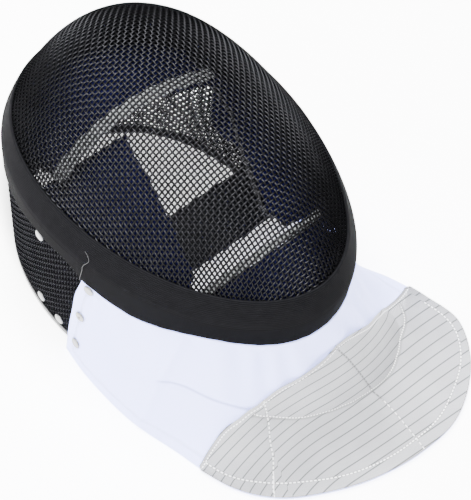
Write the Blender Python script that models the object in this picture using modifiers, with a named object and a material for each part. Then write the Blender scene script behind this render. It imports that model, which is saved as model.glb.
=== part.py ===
"""Fencing mask with its bib, lying face up on the edge of its rear mesh.

Metres, +Z up.  The face of the mask looks up, its crown points along +Y, its chin and bib along -Y,
and the wearer's left side is +X.  Z = 0 is the surface that the rear edge and the bib lie on.
"""

import math

import bpy
import numpy as np

# ---------------------------------------------------------------- driving dimensions
SEAM_LENGTH = 0.290            # crown to chin over the trim, where face mesh and rear mesh meet
SEAM_WIDTH = 0.208             # side to side over the trim
CROWN_FULLNESS = 0.125         # how much fuller than an ellipse the crown end of the seam is
SEAM_BOW = 0.0056              # the seam's slow rise at the brow and dip at the jaw
SEAM_HEIGHT = 0.1190           # middle of the seam above the surface
LEAN = math.radians(-3.5)      # turn of the seam's plane about X: the crown lies a little lower

DOME_MIDDLE = 0.0885           # rise of the face mesh over the seam's plane, halfway along
DOME_SLOPE = 0.0225            # what the rise gains towards the crown and loses towards the chin
DOME_ENDS = 0.0455             # what it gains towards both ends
DOME_ROUND = 2.31              # exponents of the face mesh's section
DOME_FALL = 0.89

GAP = 0.0003                   # clearance between pieces that touch
TRIM_WALL = 0.0016             # trim tape
TRIM_ON_FACE = 0.0215          # its width up the face mesh
MESH_WALL = 0.0018             # two crossed layers of 1 mm wire
MESH_INSET = TRIM_WALL + GAP   # the meshes lie this far under the trim's outer face

REAR_TAPER = 0.030             # the rear mesh draws in by this share at its lower edge
REAR_END_Y = -0.031            # where the rear mesh stops, under the bib's corners
RIM_WALL = 0.0026              # folded steel edging of the rear mesh
RIM_HEIGHT = 0.0058

BIB_WALL = 0.0016              # layers of white cotton drill
BIB_CURL = 1.25                # over 1 the cloth leaves the trim straight down, then flares
LAME_WALL = 0.0009             # silver conductive cloth sewn over the bib
STRAP_WIDTH = 0.048            # elastic back strap
STRAP_WALL = 0.0020
PAD_WALL = 0.0120              # brow pad and chin pad
CHEEK_WALL = 0.0065            # side pads
CHEEK_BEND = 0.0068            # radius of their bend from the top down the wall
CHEEK_BELLY = 0.0025           # how far their tops arch up
BROW_BINDING = 0.0115          # width of the pale edge binding of the brow pad
CHIN_BINDING = 0.0135          # and of the chin pad
BINDING_WALL = 0.0012
RIVET_RADIUS = 0.0042
RIVET_RISE = 0.0013

# The mask's middle stands here, so that the origin is under the middle of mask and bib together.
MASK_CENTRE = (-0.01626, 0.04351)

# The trim's width down the rear mesh, by the angle round it from the crown (-90 is the middle of the
# wearer's right side).  The tape's two ends meet near -93 degrees, where it steps.
TRIM_COLUMNS = ("angle_deg", "width")
TRIM_ON_REAR = (
    (-360.0, 0.0205),
    (-186.0, 0.0205),
    (-180.0, 0.0210),
    (-170.0, 0.0218),
    (-162.0, 0.0217),
    (-154.0, 0.0209),
    (-146.0, 0.0198),
    (-138.0, 0.0190),
    (-132.0, 0.0199),
    (-126.0, 0.0221),
    (-120.0, 0.0248),
    (-114.0, 0.0267),
    (-108.0, 0.0260),
    (-102.0, 0.0239),
    (-96.0, 0.0209),
    (-91.0, 0.0150),
    (-84.0, 0.0143),
    (-78.0, 0.0150),
    (-73.0, 0.0162),
    (-68.0, 0.0188),
    (-62.0, 0.0204),
    (-56.0, 0.0205),
    (0.0, 0.0205),
)

# How the bib falls.  Each row is one line of the cloth, from the trim to the surface:
# angle round the trim from the crown (the wearer's left is positive), the place where its hem
# lies, from the mask's middle, and how steeply the cloth falls before it spreads (1 is straight).
BIB_COLUMNS = ("angle_deg", "hem_x", "hem_y", "fall")
BIB_FALL = (
    (-268.0, 0.1035, 0.0060, 1.00),
    (-263.0, 0.1046, -0.0110, 1.00),
    (-250.0, 0.1090, -0.0492, 1.02),
    (-238.0, 0.1136, -0.0871, 1.15),
    (-226.0, 0.1275, -0.1163, 1.60),
    (-216.0, 0.1367, -0.1441, 2.05),
    (-207.0, 0.1413, -0.1765, 2.20),
    (-198.0, 0.1203, -0.2080, 2.15),
    (-189.0, 0.0830, -0.2299, 2.05),
    (-180.0, 0.0435, -0.2328, 1.95),
    (-170.0, 0.0015, -0.2258, 1.85),
    (-160.0, -0.0334, -0.2122, 1.75),
    (-150.0, -0.0625, -0.1943, 1.62),
    (-139.0, -0.0843, -0.1662, 1.45),
    (-128.0, -0.0964, -0.1237, 1.25),
    (-117.0, -0.1071, -0.0832, 1.10),
    (-107.0, -0.1095, -0.0417, 1.02),
    (-97.0, -0.1065, -0.0092, 1.00),
    (-92.0, -0.1040, 0.0060, 1.00),
)

# The fold where the steep cloth under the chin meets the cloth that lies nearly flat: angle round
# the trim, the fold's share of the way from trim to hem, and how deep it is.  Above it the cloth
# bellies out by part of that depth.
FOLD_COLUMNS = ("angle_deg", "share", "depth")
BIB_FOLD = (
    (-245.0, 0.450, 0.0000),
    (-232.0, 0.460, 0.0010),
    (-223.0, 0.540, 0.0025),
    (-217.0, 0.620, 0.0040),
    (-210.0, 0.640, 0.0055),
    (-202.0, 0.590, 0.0065),
    (-192.0, 0.550, 0.0060),
    (-180.0, 0.510, 0.0050),
    (-170.0, 0.485, 0.0040),
    (-160.0, 0.455, 0.0030),
    (-150.0, 0.410, 0.0022),
    (-140.0, 0.390, 0.0016),
    (-130.0, 0.420, 0.0011),
    (-122.0, 0.460, 0.0006),
    (-110.0, 0.460, 0.0000),
)
FOLD_BELLY = 0.7

# Where its two front edges run: share of the way from trim to hem, angle round from the crown.
EDGE_COLUMNS = ("share", "angle_deg")
BIB_EDGE = (
    (0.00, 96.2),
    (0.25, 95.3),
    (0.46, 95.7),
    (0.63, 96.1),
    (0.80, 96.8),
    (1.00, 98.0),
)

# Where the silver cloth starts: angle round the trim, share of the way from the trim to the hem.
LAME_COLUMNS = ("angle_deg", "start")
LAME_START = (
    (-220.5, 0.950),
    (-217.5, 0.780),
    (-213.5, 0.560),
    (-208.8, 0.395),
    (-200.0, 0.235),
    (-191.6, 0.145),
    (-183.8, 0.120),
    (-176.1, 0.143),
    (-165.8, 0.190),
    (-156.2, 0.262),
    (-150.9, 0.348),
    (-145.2, 0.445),
    (-137.9, 0.640),
    (-135.2, 0.792),
    (-133.2, 0.950),
)

# Rivets, by the wearer's right side: kind of seat, y from the mask's middle, height.
RIVET_ROWS = (
    ("mesh", 0.0280, 0.0985),
    ("mesh", 0.0264, 0.0160),
    ("mesh", 0.0048, 0.0136),
    ("bib", -0.0241, 0.0930),
    ("bib", -0.0200, 0.0545),
    ("bib", -0.0213, 0.0220),
)


# ---------------------------------------------------------------- scene and objects
def clear_scene():
    for old in list(bpy.data.objects):
        bpy.data.objects.remove(old, do_unlink=True)


def material(name, colour, roughness, metallic=0.0):
    made = bpy.data.materials.new(name)
    made.use_nodes = True
    shader = made.node_tree.nodes["Principled BSDF"]
    shader.inputs["Base Color"].default_value = (*colour, 1.0)
    shader.inputs["Roughness"].default_value = roughness
    shader.inputs["Metallic"].default_value = metallic
    made.diffuse_color = (*colour, 1.0)
    return made


def add_piece(name, points, faces, finish, wall=0.0, smooth=True):
    """A mesh object in the mask's collection; wall gives an open sheet its thickness, inwards."""
    mesh = bpy.data.meshes.new(name)
    mesh.from_pydata([tuple(p) for p in points], [], faces)
    mesh.validate()
    mesh.materials.append(finish)
    piece = bpy.data.objects.new(name, mesh)
    MASK.objects.link(piece)
    piece.location = (MASK_CENTRE[0], MASK_CENTRE[1], 0.0)
    if smooth:
        mesh.shade_smooth()
    if wall:
        thick = piece.modifiers.new("wall", "SOLIDIFY")
        thick.thickness = wall
        thick.offset = -1.0
        thick.use_even_offset = True
    return piece


def grid_faces(rows, columns, closed=False):
    """Quads of a grid whose rows run one after another; closed joins each row's end to its start."""
    last = columns if closed else columns - 1
    faces = []
    for row in range(rows - 1):
        for column in range(last):
            after = (column + 1) % columns
            faces.append((
                row * columns + column,
                row * columns + after,
                (row + 1) * columns + after,
                (row + 1) * columns + column,
            ))
    return faces


def curve_through(table, at, column):
    """Smooth value of one column of a table (Catmull-Rom through the rows), at first-column values."""
    rows = np.array(table, float)
    keys, values = rows[:, 0], rows[:, column]
    slopes = np.gradient(values, keys)
    at = np.clip(np.asarray(at, float), keys[0], keys[-1])
    low = np.clip(np.searchsorted(keys, at, side="right") - 1, 0, len(keys) - 2)
    step = keys[low + 1] - keys[low]
    t = (at - keys[low]) / step
    return (
        (2 * t ** 3 - 3 * t ** 2 + 1) * values[low]
        + (t ** 3 - 2 * t ** 2 + t) * step * slopes[low]
        + (3 * t ** 2 - 2 * t ** 3) * values[low + 1]
        + (t ** 3 - t ** 2) * step * slopes[low + 1]
    )


# ---------------------------------------------------------------- the mask's own surfaces
def lean(points):
    """From the seam's plane (x across, y to the crown, z off the plane) to where the mask lies."""
    x, y, z = points[..., 0], points[..., 1], points[..., 2]
    return np.stack([
        x,
        y * math.cos(LEAN) - z * math.sin(LEAN),
        y * math.sin(LEAN) + z * math.cos(LEAN) + SEAM_HEIGHT,
    ], axis=-1)


def seam(angle, inset):
    """Egg-shaped seam line in its own plane, at an angle from the crown towards +X."""
    half_length = SEAM_LENGTH / 2 - inset
    half_width = SEAM_WIDTH / 2 - inset
    along = np.cos(angle)
    y = half_length * along
    x = half_width * np.sin(angle) * (1 + CROWN_FULLNESS * along)
    z = SEAM_BOW * along * (1 - along ** 2)
    return x, y, z


def face_point(angle, share, inset):
    """Face mesh: share runs from its middle (0) to the seam (1)."""
    x, y, bow = seam(angle, inset)
    along = y * share / (SEAM_LENGTH / 2)
    rise = DOME_MIDDLE - inset + DOME_SLOPE * along + DOME_ENDS * along ** 2
    height = rise * (1 - share ** DOME_ROUND) ** DOME_FALL
    return np.stack(np.broadcast_arrays(x * share, y * share, bow * share ** 2 + height), axis=-1)


def rear_point(angle, drop, inset):
    """Rear mesh and what lies against it: drop is the distance below the seam's plane."""
    x, y, bow = seam(angle, inset)
    draw_in = 1 - REAR_TAPER * drop / SEAM_HEIGHT
    return np.stack(np.broadcast_arrays(x * draw_in, y * draw_in, bow - drop), axis=-1)


def drop_to_height(angle, height, inset):
    """The drop at which rear_point reaches this height above the surface."""
    drop = np.full(np.shape(angle), SEAM_HEIGHT - height)
    for _ in range(6):
        drop = drop + lean(rear_point(angle, drop, inset))[..., 2] - height
    return drop


def angle_at_y(y, height, inset):
    """The angle, on the wearer's left, at which the rear wall passes this y at this height."""
    low, high = 0.0, math.pi
    for _ in range(50):
        middle = (low + high) / 2
        drop = drop_to_height(np.array(middle), height, inset)
        if lean(rear_point(np.array(middle), drop, inset))[..., 1] > y:
            low = middle
        else:
            high = middle
    return low


# ---------------------------------------------------------------- hard pieces
def make_face_mesh(finish):
    """Domed front mesh, from its middle out to the seam under the trim."""
    around, rings = 52, 12
    angle = np.linspace(0, 2 * math.pi, around, endpoint=False)
    share = 1 - (1 - np.linspace(0, 1, rings + 1)[1:]) ** 1.35
    points = lean(face_point(angle[None, :], share[:, None], MESH_INSET)).reshape(-1, 3)
    middle = lean(face_point(0.0, np.array(1e-4), MESH_INSET))
    faces = grid_faces(rings, around, closed=True)
    centre = len(points)
    faces += [(centre, (k + 1) % around, k) for k in range(around)]
    return add_piece("face_mesh", np.vstack([points, middle]), faces, finish, MESH_WALL)


def make_rear_mesh(finish):
    """Upright mesh round the crown and sides, from the seam down to its steel edging."""
    along, down = 44, 4
    end = angle_at_y(REAR_END_Y, SEAM_HEIGHT / 2, MESH_INSET)
    angle = np.linspace(-end, end, along)
    lowest = drop_to_height(angle, RIM_HEIGHT + GAP, MESH_INSET)
    highest = 0.0016
    share = np.linspace(0, 1, down)[:, None]
    drop = highest + (lowest - highest)[None, :] * share
    points = lean(rear_point(angle[None, :], drop, MESH_INSET)).reshape(-1, 3)
    return add_piece("rear_mesh", points, grid_faces(down, along), finish, MESH_WALL)


def make_rear_rim(finish):
    """Steel strip folded round the lower edge of the rear mesh, which the mask rests on."""
    along = 44
    end = angle_at_y(REAR_END_Y, RIM_HEIGHT / 2, MESH_INSET)
    angle = np.linspace(-end, end, along)
    outside = MESH_INSET - (RIM_WALL - MESH_WALL) / 2
    corner = 0.0006
    section = (
        (corner, 0.0), (0.0, corner), (0.0, RIM_HEIGHT - corner), (corner, RIM_HEIGHT),
        (RIM_WALL - corner, RIM_HEIGHT), (RIM_WALL, RIM_HEIGHT - corner), (RIM_WALL, corner),
        (RIM_WALL - corner, 0.0),
    )
    rows = []
    for inwards, height in section:
        drop = drop_to_height(angle, height, outside + inwards)
        row = lean(rear_point(angle, drop, outside + inwards))
        row[:, 2] = height
        rows.append(row)
    count = len(section)
    points = np.stack(rows, axis=1).reshape(-1, 3)
    faces = grid_faces(along, count, closed=True)
    faces.append(tuple(reversed(range(count))))
    faces.append(tuple(range((along - 1) * count, along * count)))
    return add_piece("rear_rim", points, faces, finish, smooth=False)


def trim_on_rear(angle):
    """Width of the trim down the rear mesh at an angle round it."""
    return curve_through(TRIM_ON_REAR, -np.mod(-np.degrees(angle), 360.0), 1)


def trim_profile(angle):
    """Points across the tape, from its edge on the face mesh, over the seam, to its rear edge."""
    share = np.linspace(1.0, 0.55, 60)
    line = face_point(np.full(60, angle), share, 0.0)
    run = np.concatenate([[0.0], np.cumsum(np.linalg.norm(np.diff(line, axis=0), axis=1))])
    steps = TRIM_ON_FACE * np.array([1.0, 0.75, 0.5, 0.25, 0.07])
    up = np.stack([np.interp(steps, run, line[:, k]) for k in range(3)], axis=1)
    drops = trim_on_rear(angle) * np.array([0.07, 0.3, 0.65, 1.0])
    down = rear_point(np.full(4, angle), drops, 0.0)
    return np.vstack([up, down])


def make_trim_band(finish):
    """Tape bound over the seam, all the way round."""
    around = 60
    angle = np.linspace(0, 2 * math.pi, around, endpoint=False)
    rows = np.stack([trim_profile(a) for a in angle], axis=1)
    points = lean(rows).reshape(-1, 3)
    faces = [face[::-1] for face in grid_faces(rows.shape[0], around, closed=True)]
    return add_piece("trim_band", points, faces, finish, TRIM_WALL)


def seat_frame(kind, side, y, height):
    """Seat of a rivet on the wearer's right (-1) or left (+1): its point and outward direction."""
    if kind == "mesh":
        angle = side * angle_at_y(y, height, MESH_INSET)
        def surface(a, h):
            return lean(rear_point(a, drop_to_height(a, h, MESH_INSET), MESH_INSET))
        place = surface(np.array(angle), height)
        across = surface(np.array(angle + 0.02), height) - surface(np.array(angle - 0.02), height)
        upward = surface(np.array(angle), height + 0.002) - surface(np.array(angle), height - 0.002)
    else:
        turn, share = bib_at(side, y, height)
        def surface(a, s):
            return bib_point(np.array(a), np.array(s), 0.0)
        place = surface(turn, share)
        across = surface(turn + 0.02, share) - surface(turn - 0.02, share)
        upward = surface(turn, share - 0.03) - surface(turn, share + 0.03)
    out = np.cross(across, upward)
    out = out / np.linalg.norm(out)
    if out[0] * side < 0:
        out = -out
    return place, out, upward / np.linalg.norm(upward)


def make_rivets(finish):
    """Flat-headed rivets: a low turned head that sits on the mesh or on the bib."""
    rings = ((0.0, 1.0), (0.72, 1.0), (1.0, 0.45), (1.0, 0.0))
    sides = 12
    turns = np.linspace(0, 2 * math.pi, sides, endpoint=False)
    for side, word in ((-1, "right"), (1, "left")):
        for number, (kind, y, height) in enumerate(RIVET_ROWS, start=1):
            place, out, upward = seat_frame(kind, side, y, height)
            across = np.cross(upward, out)
            points = [place + out * (GAP + RIVET_RISE)]
            for radius, rise in rings[1:]:
                round_ = np.cos(turns)[:, None] * across + np.sin(turns)[:, None] * upward
                points.extend(place + round_ * RIVET_RADIUS * radius + out * (GAP + RIVET_RISE * rise))
            faces = [(0, 1 + k, 1 + (k + 1) % sides) for k in range(sides)]
            faces += [
                tuple(1 + corner for corner in face)[::-1]
                for face in grid_faces(len(rings) - 1, sides, closed=True)
            ]
            last = 1 + (len(rings) - 2) * sides
            faces.append(tuple(last + k for k in reversed(range(sides))))
            add_piece(f"{kind}_rivet_{word}_{number}", points, faces, finish, smooth=False)


# ---------------------------------------------------------------- cloth
def bib_relief(turn, share):
    """Height of the cloth off its even fall: out above the fold, in at the fold, level at both ends."""
    degrees = np.degrees(turn)
    fold, depth = (curve_through(BIB_FOLD, degrees, k) for k in (1, 2))
    above = np.clip(share / fold, 0, 1)
    below = np.clip((share - fold) / (1 - fold), 0, 1)
    inner = FOLD_BELLY * np.sin(math.pi * above) - above ** 2
    return depth * np.where(share < fold, inner, -(1 - below) ** 2)


def bib_point(turn, share, off):
    """Bib: turn is the angle round the trim, share runs from the trim (0) to the hem (1).

    off lifts the point off the cloth's outer face, along the cloth's own outward direction.
    """
    def flat(turn, share):
        degrees = np.degrees(turn)
        top = lean(rear_point(turn, trim_on_rear(turn) + GAP, 0.0))
        hem_x, hem_y, fall = (curve_through(BIB_FALL, degrees, k) for k in (1, 2, 3))
        spread = share ** BIB_CURL
        left = (1 - share) ** fall
        hem_z = BIB_WALL + GAP
        return np.stack([
            top[..., 0] + (hem_x - top[..., 0]) * spread,
            top[..., 1] + (hem_y - top[..., 1]) * spread,
            hem_z + (top[..., 2] - hem_z) * left,
        ], axis=-1)

    turn, share = np.broadcast_arrays(np.asarray(turn, float), np.asarray(share, float))
    here = flat(turn, share)
    small = 0.01
    low, high = np.clip(share - small, 0, 1), np.clip(share + small, 0, 1)
    along = flat(turn + small, share) - flat(turn - small, share)
    down = flat(turn, high) - flat(turn, low)
    out = np.cross(along, down)
    out = out / np.linalg.norm(out, axis=-1, keepdims=True)
    return here + out * (bib_relief(turn, share) + off)[..., None]


def bib_at(side, y, height):
    """Turn and share of the bib's point at this y and height, near its front corner."""
    best = None
    centre = math.radians(-102 if side < 0 else -258)
    for turn in centre + np.radians(np.linspace(-5, 5, 41)):
        share = np.linspace(0.0, 1.0, 101)
        line = bib_point(np.full(101, turn), share, 0.0)
        miss = np.hypot(line[:, 1] - y, line[:, 2] - height)
        if best is None or miss.min() < best[0]:
            best = (miss.min(), turn, share[miss.argmin()])
    return best[1], best[2]


def rows_by_fold(degrees, start, above, below):
    """Shares of the rows from start to hem, one of them on the fold; one column for each angle."""
    join = np.maximum(curve_through(BIB_FOLD, degrees, 1), start + 0.12 * (1 - start))
    first = start + (join - start) * np.linspace(0, 1, above + 1)[:, None]
    rest = join + (1 - join) * np.linspace(0, 1, below + 1)[1:, None]
    return np.vstack([first, rest])


def make_bib(finish):
    """White cloth that hangs from the trim round jaw and chin and spreads on the surface."""
    along, above, below = 42, 6, 6
    place = np.linspace(-1, 1, along)
    middle = -180.0 + (180.0 - BIB_EDGE[0][1]) * place
    share = rows_by_fold(middle, 0.0, above, below)
    edge = 180.0 - curve_through(BIB_EDGE, share, 1)
    points = bib_point(np.radians(-180.0 + edge * place), share, 0.0).reshape(-1, 3)
    return add_piece("bib", points, grid_faces(share.shape[0], along), finish, BIB_WALL)


def make_bib_lame(finish):
    """Silver cloth sewn over the front of the bib, below the line of the chin."""
    along, above, below = 32, 4, 5
    turn = np.linspace(LAME_START[0][0], LAME_START[-1][0], along)
    share = rows_by_fold(turn, curve_through(LAME_START, turn, 1), above, below)
    lift = 2.5 * GAP + LAME_WALL
    points = bib_point(np.radians(turn)[None, :], share, lift).reshape(-1, 3)
    return add_piece("bib_lame", points, grid_faces(share.shape[0], along), finish, LAME_WALL)


def make_back_strap(finish):
    """Broad elastic across the rear opening, its ends turned up against the rear mesh."""
    across, along = 3, 27
    inside = MESH_INSET + MESH_WALL + 2 * GAP
    tab_height, floor_height, bend = 0.026, 0.0075, 0.009
    rows = []
    for y in np.linspace(-STRAP_WIDTH / 2, STRAP_WIDTH / 2, across):
        angle = angle_at_y(y, 0.02, inside)
        wall = lean(rear_point(np.array(angle), drop_to_height(np.array(angle), 0.02, inside), inside))
        reach = wall[0]
        quarter = np.linspace(0, math.pi / 2, 6)
        x = np.concatenate([[reach, reach], reach - bend + bend * np.cos(quarter)[1:], [0.0]])
        z = np.concatenate([
            [tab_height, floor_height + bend + 0.004],
            floor_height + bend - bend * np.sin(quarter)[1:],
            [floor_height - 0.001],
        ])
        lean_out = (z - 0.02) * REAR_TAPER * 0.9
        x = x + np.where(x > reach - bend, lean_out, 0.0)
        line = np.stack([
            np.concatenate([-x, x[-2::-1]]),
            np.full(2 * len(x) - 1, y + 0.003),
            np.concatenate([z, z[-2::-1]]),
        ], axis=1)
        rows.append(line)
    points = np.vstack(rows)
    faces = [face[::-1] for face in grid_faces(across, len(rows[0]))]
    return add_piece("back_strap", points, faces, finish, STRAP_WALL)


# ---------------------------------------------------------------- pads
def wall_line(angles, height, inset):
    """A line along the inside of the rear wall at one height."""
    return lean(rear_point(angles, drop_to_height(angles, height, inset), inset))


def rounded(lines, rounds=1):
    """Sheet through a pad's control lines: their corners are cut at a quarter, ends are kept."""
    for _ in range(rounds):
        cut = [lines[0]]
        for first, second in zip(lines[:-1], lines[1:]):
            cut.append(first * 0.75 + second * 0.25)
            cut.append(first * 0.25 + second * 0.75)
        cut[1] = lines[0] * 0.6 + lines[1] * 0.4
        cut.append(lines[-1])
        lines = cut
    return np.stack(lines)


def make_pad(name, finish, sheet, wall=PAD_WALL, flip=False):
    steps, count = sheet.shape[:2]
    faces = grid_faces(steps, count)
    if flip:
        faces = [face[::-1] for face in faces]
    return add_piece(name, sheet.reshape(-1, 3), faces, finish, wall)


def make_binding(name, finish, sheet, width):
    """Pale strip sewn along a pad's free edge, on its front face."""
    first, second = sheet[0], sheet[1]
    way = second - first
    reach = np.linalg.norm(way, axis=1, keepdims=True)
    along = np.gradient(first, axis=0)
    up = np.cross(along, way)
    up = up / np.linalg.norm(up, axis=1, keepdims=True)
    lift = up * (BINDING_WALL + GAP)
    rows = [first + way * np.minimum(1, width * share / reach) + lift for share in (0.0, 0.5, 1.0)]
    return add_piece(name, np.vstack(rows), grid_faces(3, len(first)), finish, BINDING_WALL)


def make_crown_pad(pad_finish, binding_finish):
    """Brow pad: a free edge across the brow, arched up to the crown and down its wall.

    Its two ends reach less far down the wall than its middle.
    """
    across = np.linspace(-1, 1, 12)
    inside = MESH_INSET + MESH_WALL + 2 * GAP
    turn = np.radians(54.0) * across
    bow = 0.0037 * across - 0.0150 * across ** 2
    free = np.stack([0.074 * across, 0.0600 + bow, 0.1175 - 0.001 * across ** 2], 1)
    brow = np.stack([0.077 * across, 0.0825 + bow * 0.8, 0.1270 - 0.008 * across ** 2], 1)
    high = wall_line(turn, 0.110, inside)
    end = np.clip((abs(across) - 0.35) / 0.35, 0, 1)
    lines = [free, brow, high + (brow - high) * 0.10, wall_line(turn, 0.085 + 0.009 * end, inside)]
    sheet = rounded(lines + [wall_line(turn, 0.048 + 0.038 * end, inside)])
    make_pad("crown_pad", pad_finish, sheet)
    make_binding("crown_pad_binding", binding_finish, sheet, BROW_BINDING)


# The free edges of the two side pads, from the mask's middle, wearer's side outwards positive, how
# high their shoulders stand and how far down the wall they reach.  Both end under the brow pad's
# corners and beside the chin pad.  The right one has sagged inwards as the mask lies.
CHEEK_COLUMNS = ("y", "edge_x", "edge_z", "shoulder_z", "foot_z")
LEFT_CHEEK = (
    (-0.092, 0.0565, 0.1010, 0.1060, 0.086),
    (-0.079, 0.0570, 0.1010, 0.1065, 0.078),
    (-0.070, 0.0370, 0.1000, 0.1070, 0.062),
    (-0.055, 0.0325, 0.1000, 0.1070, 0.057),
    (-0.038, 0.0383, 0.1000, 0.1070, 0.051),
    (-0.019, 0.0468, 0.1000, 0.1070, 0.044),
    (0.012, 0.0626, 0.1000, 0.1065, 0.033),
    (0.026, 0.0700, 0.1000, 0.1060, 0.031),
    (0.043, 0.0735, 0.1005, 0.1055, 0.030),
    (0.056, 0.0740, 0.1010, 0.1050, 0.030),
    (0.068, 0.0725, 0.1010, 0.1050, 0.040),
)
RIGHT_CHEEK = (
    (-0.092, 0.0570, 0.1080, 0.1100, 0.086),
    (-0.079, 0.0570, 0.1100, 0.1120, 0.078),
    (-0.070, 0.0430, 0.1120, 0.1140, 0.062),
    (-0.058, 0.0363, 0.1140, 0.1160, 0.058),
    (-0.032, 0.0287, 0.1160, 0.1165, 0.049),
    (-0.004, 0.0205, 0.1170, 0.1140, 0.039),
    (0.020, 0.0133, 0.1165, 0.1080, 0.031),
    (0.038, 0.0080, 0.1110, 0.1020, 0.030),
    (0.050, 0.0030, 0.1020, 0.0990, 0.030),
    (0.064, -0.0025, 0.0950, 0.0980, 0.030),
)


def make_cheek_pad(name, finish, side, table):
    """Side pad: free edge towards the face, arched out to the wall, round a bend and down it."""
    y, edge_x, edge_z, shoulder_z, foot_z = np.transpose(table)
    inside = MESH_INSET + MESH_WALL + 2 * GAP
    turn = np.array([angle_at_y(value, 0.09, inside) for value in y])
    free = np.stack([edge_x, y, edge_z], 1)
    corner = wall_line(turn, shoulder_z, inside)
    inwards = (free - corner) * (1, 1, 0)
    inwards = inwards / np.linalg.norm(inwards, axis=1, keepdims=True)
    shoulder = corner + inwards * CHEEK_BEND
    front = (free + shoulder) / 2 + (0, 0, CHEEK_BELLY)
    bend = corner + (inwards - (0, 0, 1)) * CHEEK_BEND * (1 - math.sqrt(0.5))
    below = [wall_line(turn, shoulder_z - CHEEK_BEND, inside), wall_line(turn, foot_z, inside)]
    sheet = np.stack([*rounded([free, front, shoulder]), bend, *below])
    sheet[..., 0] *= side
    make_pad(name, finish, sheet, CHEEK_WALL, flip=side > 0)


def make_chin_pad(pad_finish, binding_finish):
    """Chin pad: free edge across under the lip, arched to the chin and down behind the trim."""
    across = np.linspace(1, -1, 10)
    inside = TRIM_WALL + 2 * GAP
    turn = np.pi - np.radians(37.0) * across
    free = np.stack([0.054 * across, -0.0800 + 0 * across, 0.1170 + 0 * across], 1)
    front = np.stack([0.052 * across, -0.0960 + 0 * across, 0.1250 - 0.005 * across ** 2], 1)
    high = wall_line(turn, 0.122, inside)
    lines = [free, front, high + (front - high) * 0.12, wall_line(turn, 0.108, inside)]
    sheet = rounded(lines + [wall_line(turn, 0.090, inside)])
    make_pad("chin_pad", pad_finish, sheet)
    make_binding("chin_pad_binding", binding_finish, sheet, CHIN_BINDING)


# ---------------------------------------------------------------- the mask
clear_scene()
MASK = bpy.data.collections.new("fencing_mask")
bpy.context.scene.collection.children.link(MASK)

WIRE = material("black_wire", (0.020, 0.020, 0.022), 0.40, 0.6)
TAPE = material("charcoal_tape", (0.030, 0.030, 0.034), 0.72)
STEEL = material("bright_steel", (0.55, 0.55, 0.54), 0.35, 1.0)
COTTON = material("white_cotton", (0.82, 0.83, 0.92), 0.85)
LAME = material("silver_lame", (0.58, 0.60, 0.60), 0.55, 0.5)
VELOUR = material("navy_velour", (0.016, 0.016, 0.062), 0.95)
ELASTIC = material("black_elastic", (0.012, 0.012, 0.013), 0.8)
BINDING = material("pale_binding", (0.55, 0.58, 0.58), 0.8)

make_face_mesh(WIRE)
make_rear_mesh(WIRE)
make_rear_rim(STEEL)
make_trim_band(TAPE)
make_bib(COTTON)
make_bib_lame(LAME)
make_back_strap(ELASTIC)
make_crown_pad(VELOUR, BINDING)
make_cheek_pad("cheek_pad_right", VELOUR, -1, RIGHT_CHEEK)
make_cheek_pad("cheek_pad_left", VELOUR, 1, LEFT_CHEEK)
make_chin_pad(VELOUR, BINDING)
make_rivets(STEEL)
bpy.context.view_layer.update()
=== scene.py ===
import math

import bpy
import numpy as np
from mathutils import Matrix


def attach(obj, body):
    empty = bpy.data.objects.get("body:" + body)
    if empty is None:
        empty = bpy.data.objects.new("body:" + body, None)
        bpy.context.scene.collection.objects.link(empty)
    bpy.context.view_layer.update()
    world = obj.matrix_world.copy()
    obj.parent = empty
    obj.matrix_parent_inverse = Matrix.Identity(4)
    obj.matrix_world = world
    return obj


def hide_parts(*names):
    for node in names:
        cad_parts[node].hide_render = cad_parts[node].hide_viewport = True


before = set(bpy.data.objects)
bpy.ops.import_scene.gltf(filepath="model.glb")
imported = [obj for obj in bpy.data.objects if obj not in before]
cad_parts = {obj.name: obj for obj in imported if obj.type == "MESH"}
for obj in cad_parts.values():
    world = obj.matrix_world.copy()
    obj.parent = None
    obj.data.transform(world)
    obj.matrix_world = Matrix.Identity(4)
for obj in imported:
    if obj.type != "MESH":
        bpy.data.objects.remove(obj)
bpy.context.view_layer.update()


# ---------------------------------------------------------------- the table and the light
# The mask lies on a plain white table in a white room, under one broad lamp overhead and weaker
# ones beside and behind it.  The camera looks down on it from the wearer's right, a little askew.
TABLE_SIZE = 6.0
TABLE_GLOW = 4.6                # the table's top glows evenly from inside; under the mask its glow and colour are darkened in an oval, a painted shadow
SHADE_REACH = (0.124, 0.185)    # the painted shadow is an oval: half its width and half its length
SHADE_MIDDLE = (0.004, 0.055)
SHADE_EDGE = (0.86, 1.00)       # between these shares of its size it fades
SHADE_LEVEL = 0.30


class Value:
    """One socket of a material.  Sums, differences and products of values add Math nodes."""

    def __init__(self, finish, socket):
        self.finish = finish
        self.socket = socket

    def of(self, name):
        """Another output of the same node."""
        return Value(self.finish, self.socket.node.outputs[name])

    def math(self, operation, *others):
        return self.finish.node("ShaderNodeMath", {"operation": operation}, [self, *others])

    def __add__(self, other):
        return self.math("ADD", other)

    def __mul__(self, other):
        return self.math("MULTIPLY", other)

    def __sub__(self, other):
        return self.math("SUBTRACT", other)

    def __rsub__(self, other):
        return self.finish.node("ShaderNodeMath", {"operation": "SUBTRACT"}, [other, self])

    __radd__, __rmul__ = __add__, __mul__

    def high(self, other):
        """The greater of two values."""
        return self.math("MAXIMUM", other)

    def wave(self, pitch):
        """A wave between 0 and 1 that repeats at each pitch."""
        return (self * (2 * math.pi / pitch)).math("SINE") * 0.5 + 0.5

    def band(self, middle, width):
        """1 where the value is within half the width of the middle, with soft sides."""
        return 1 - (self - middle).math("ABSOLUTE").step(width * 0.35, width * 0.65)

    def step(self, low, high):
        """0 below low, 1 above high and a smooth rise between."""
        inputs = {"Value": self, "From Min": low, "From Max": high}
        return self.finish.node("ShaderNodeMapRange", {"interpolation_type": "SMOOTHSTEP"}, inputs)


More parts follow.
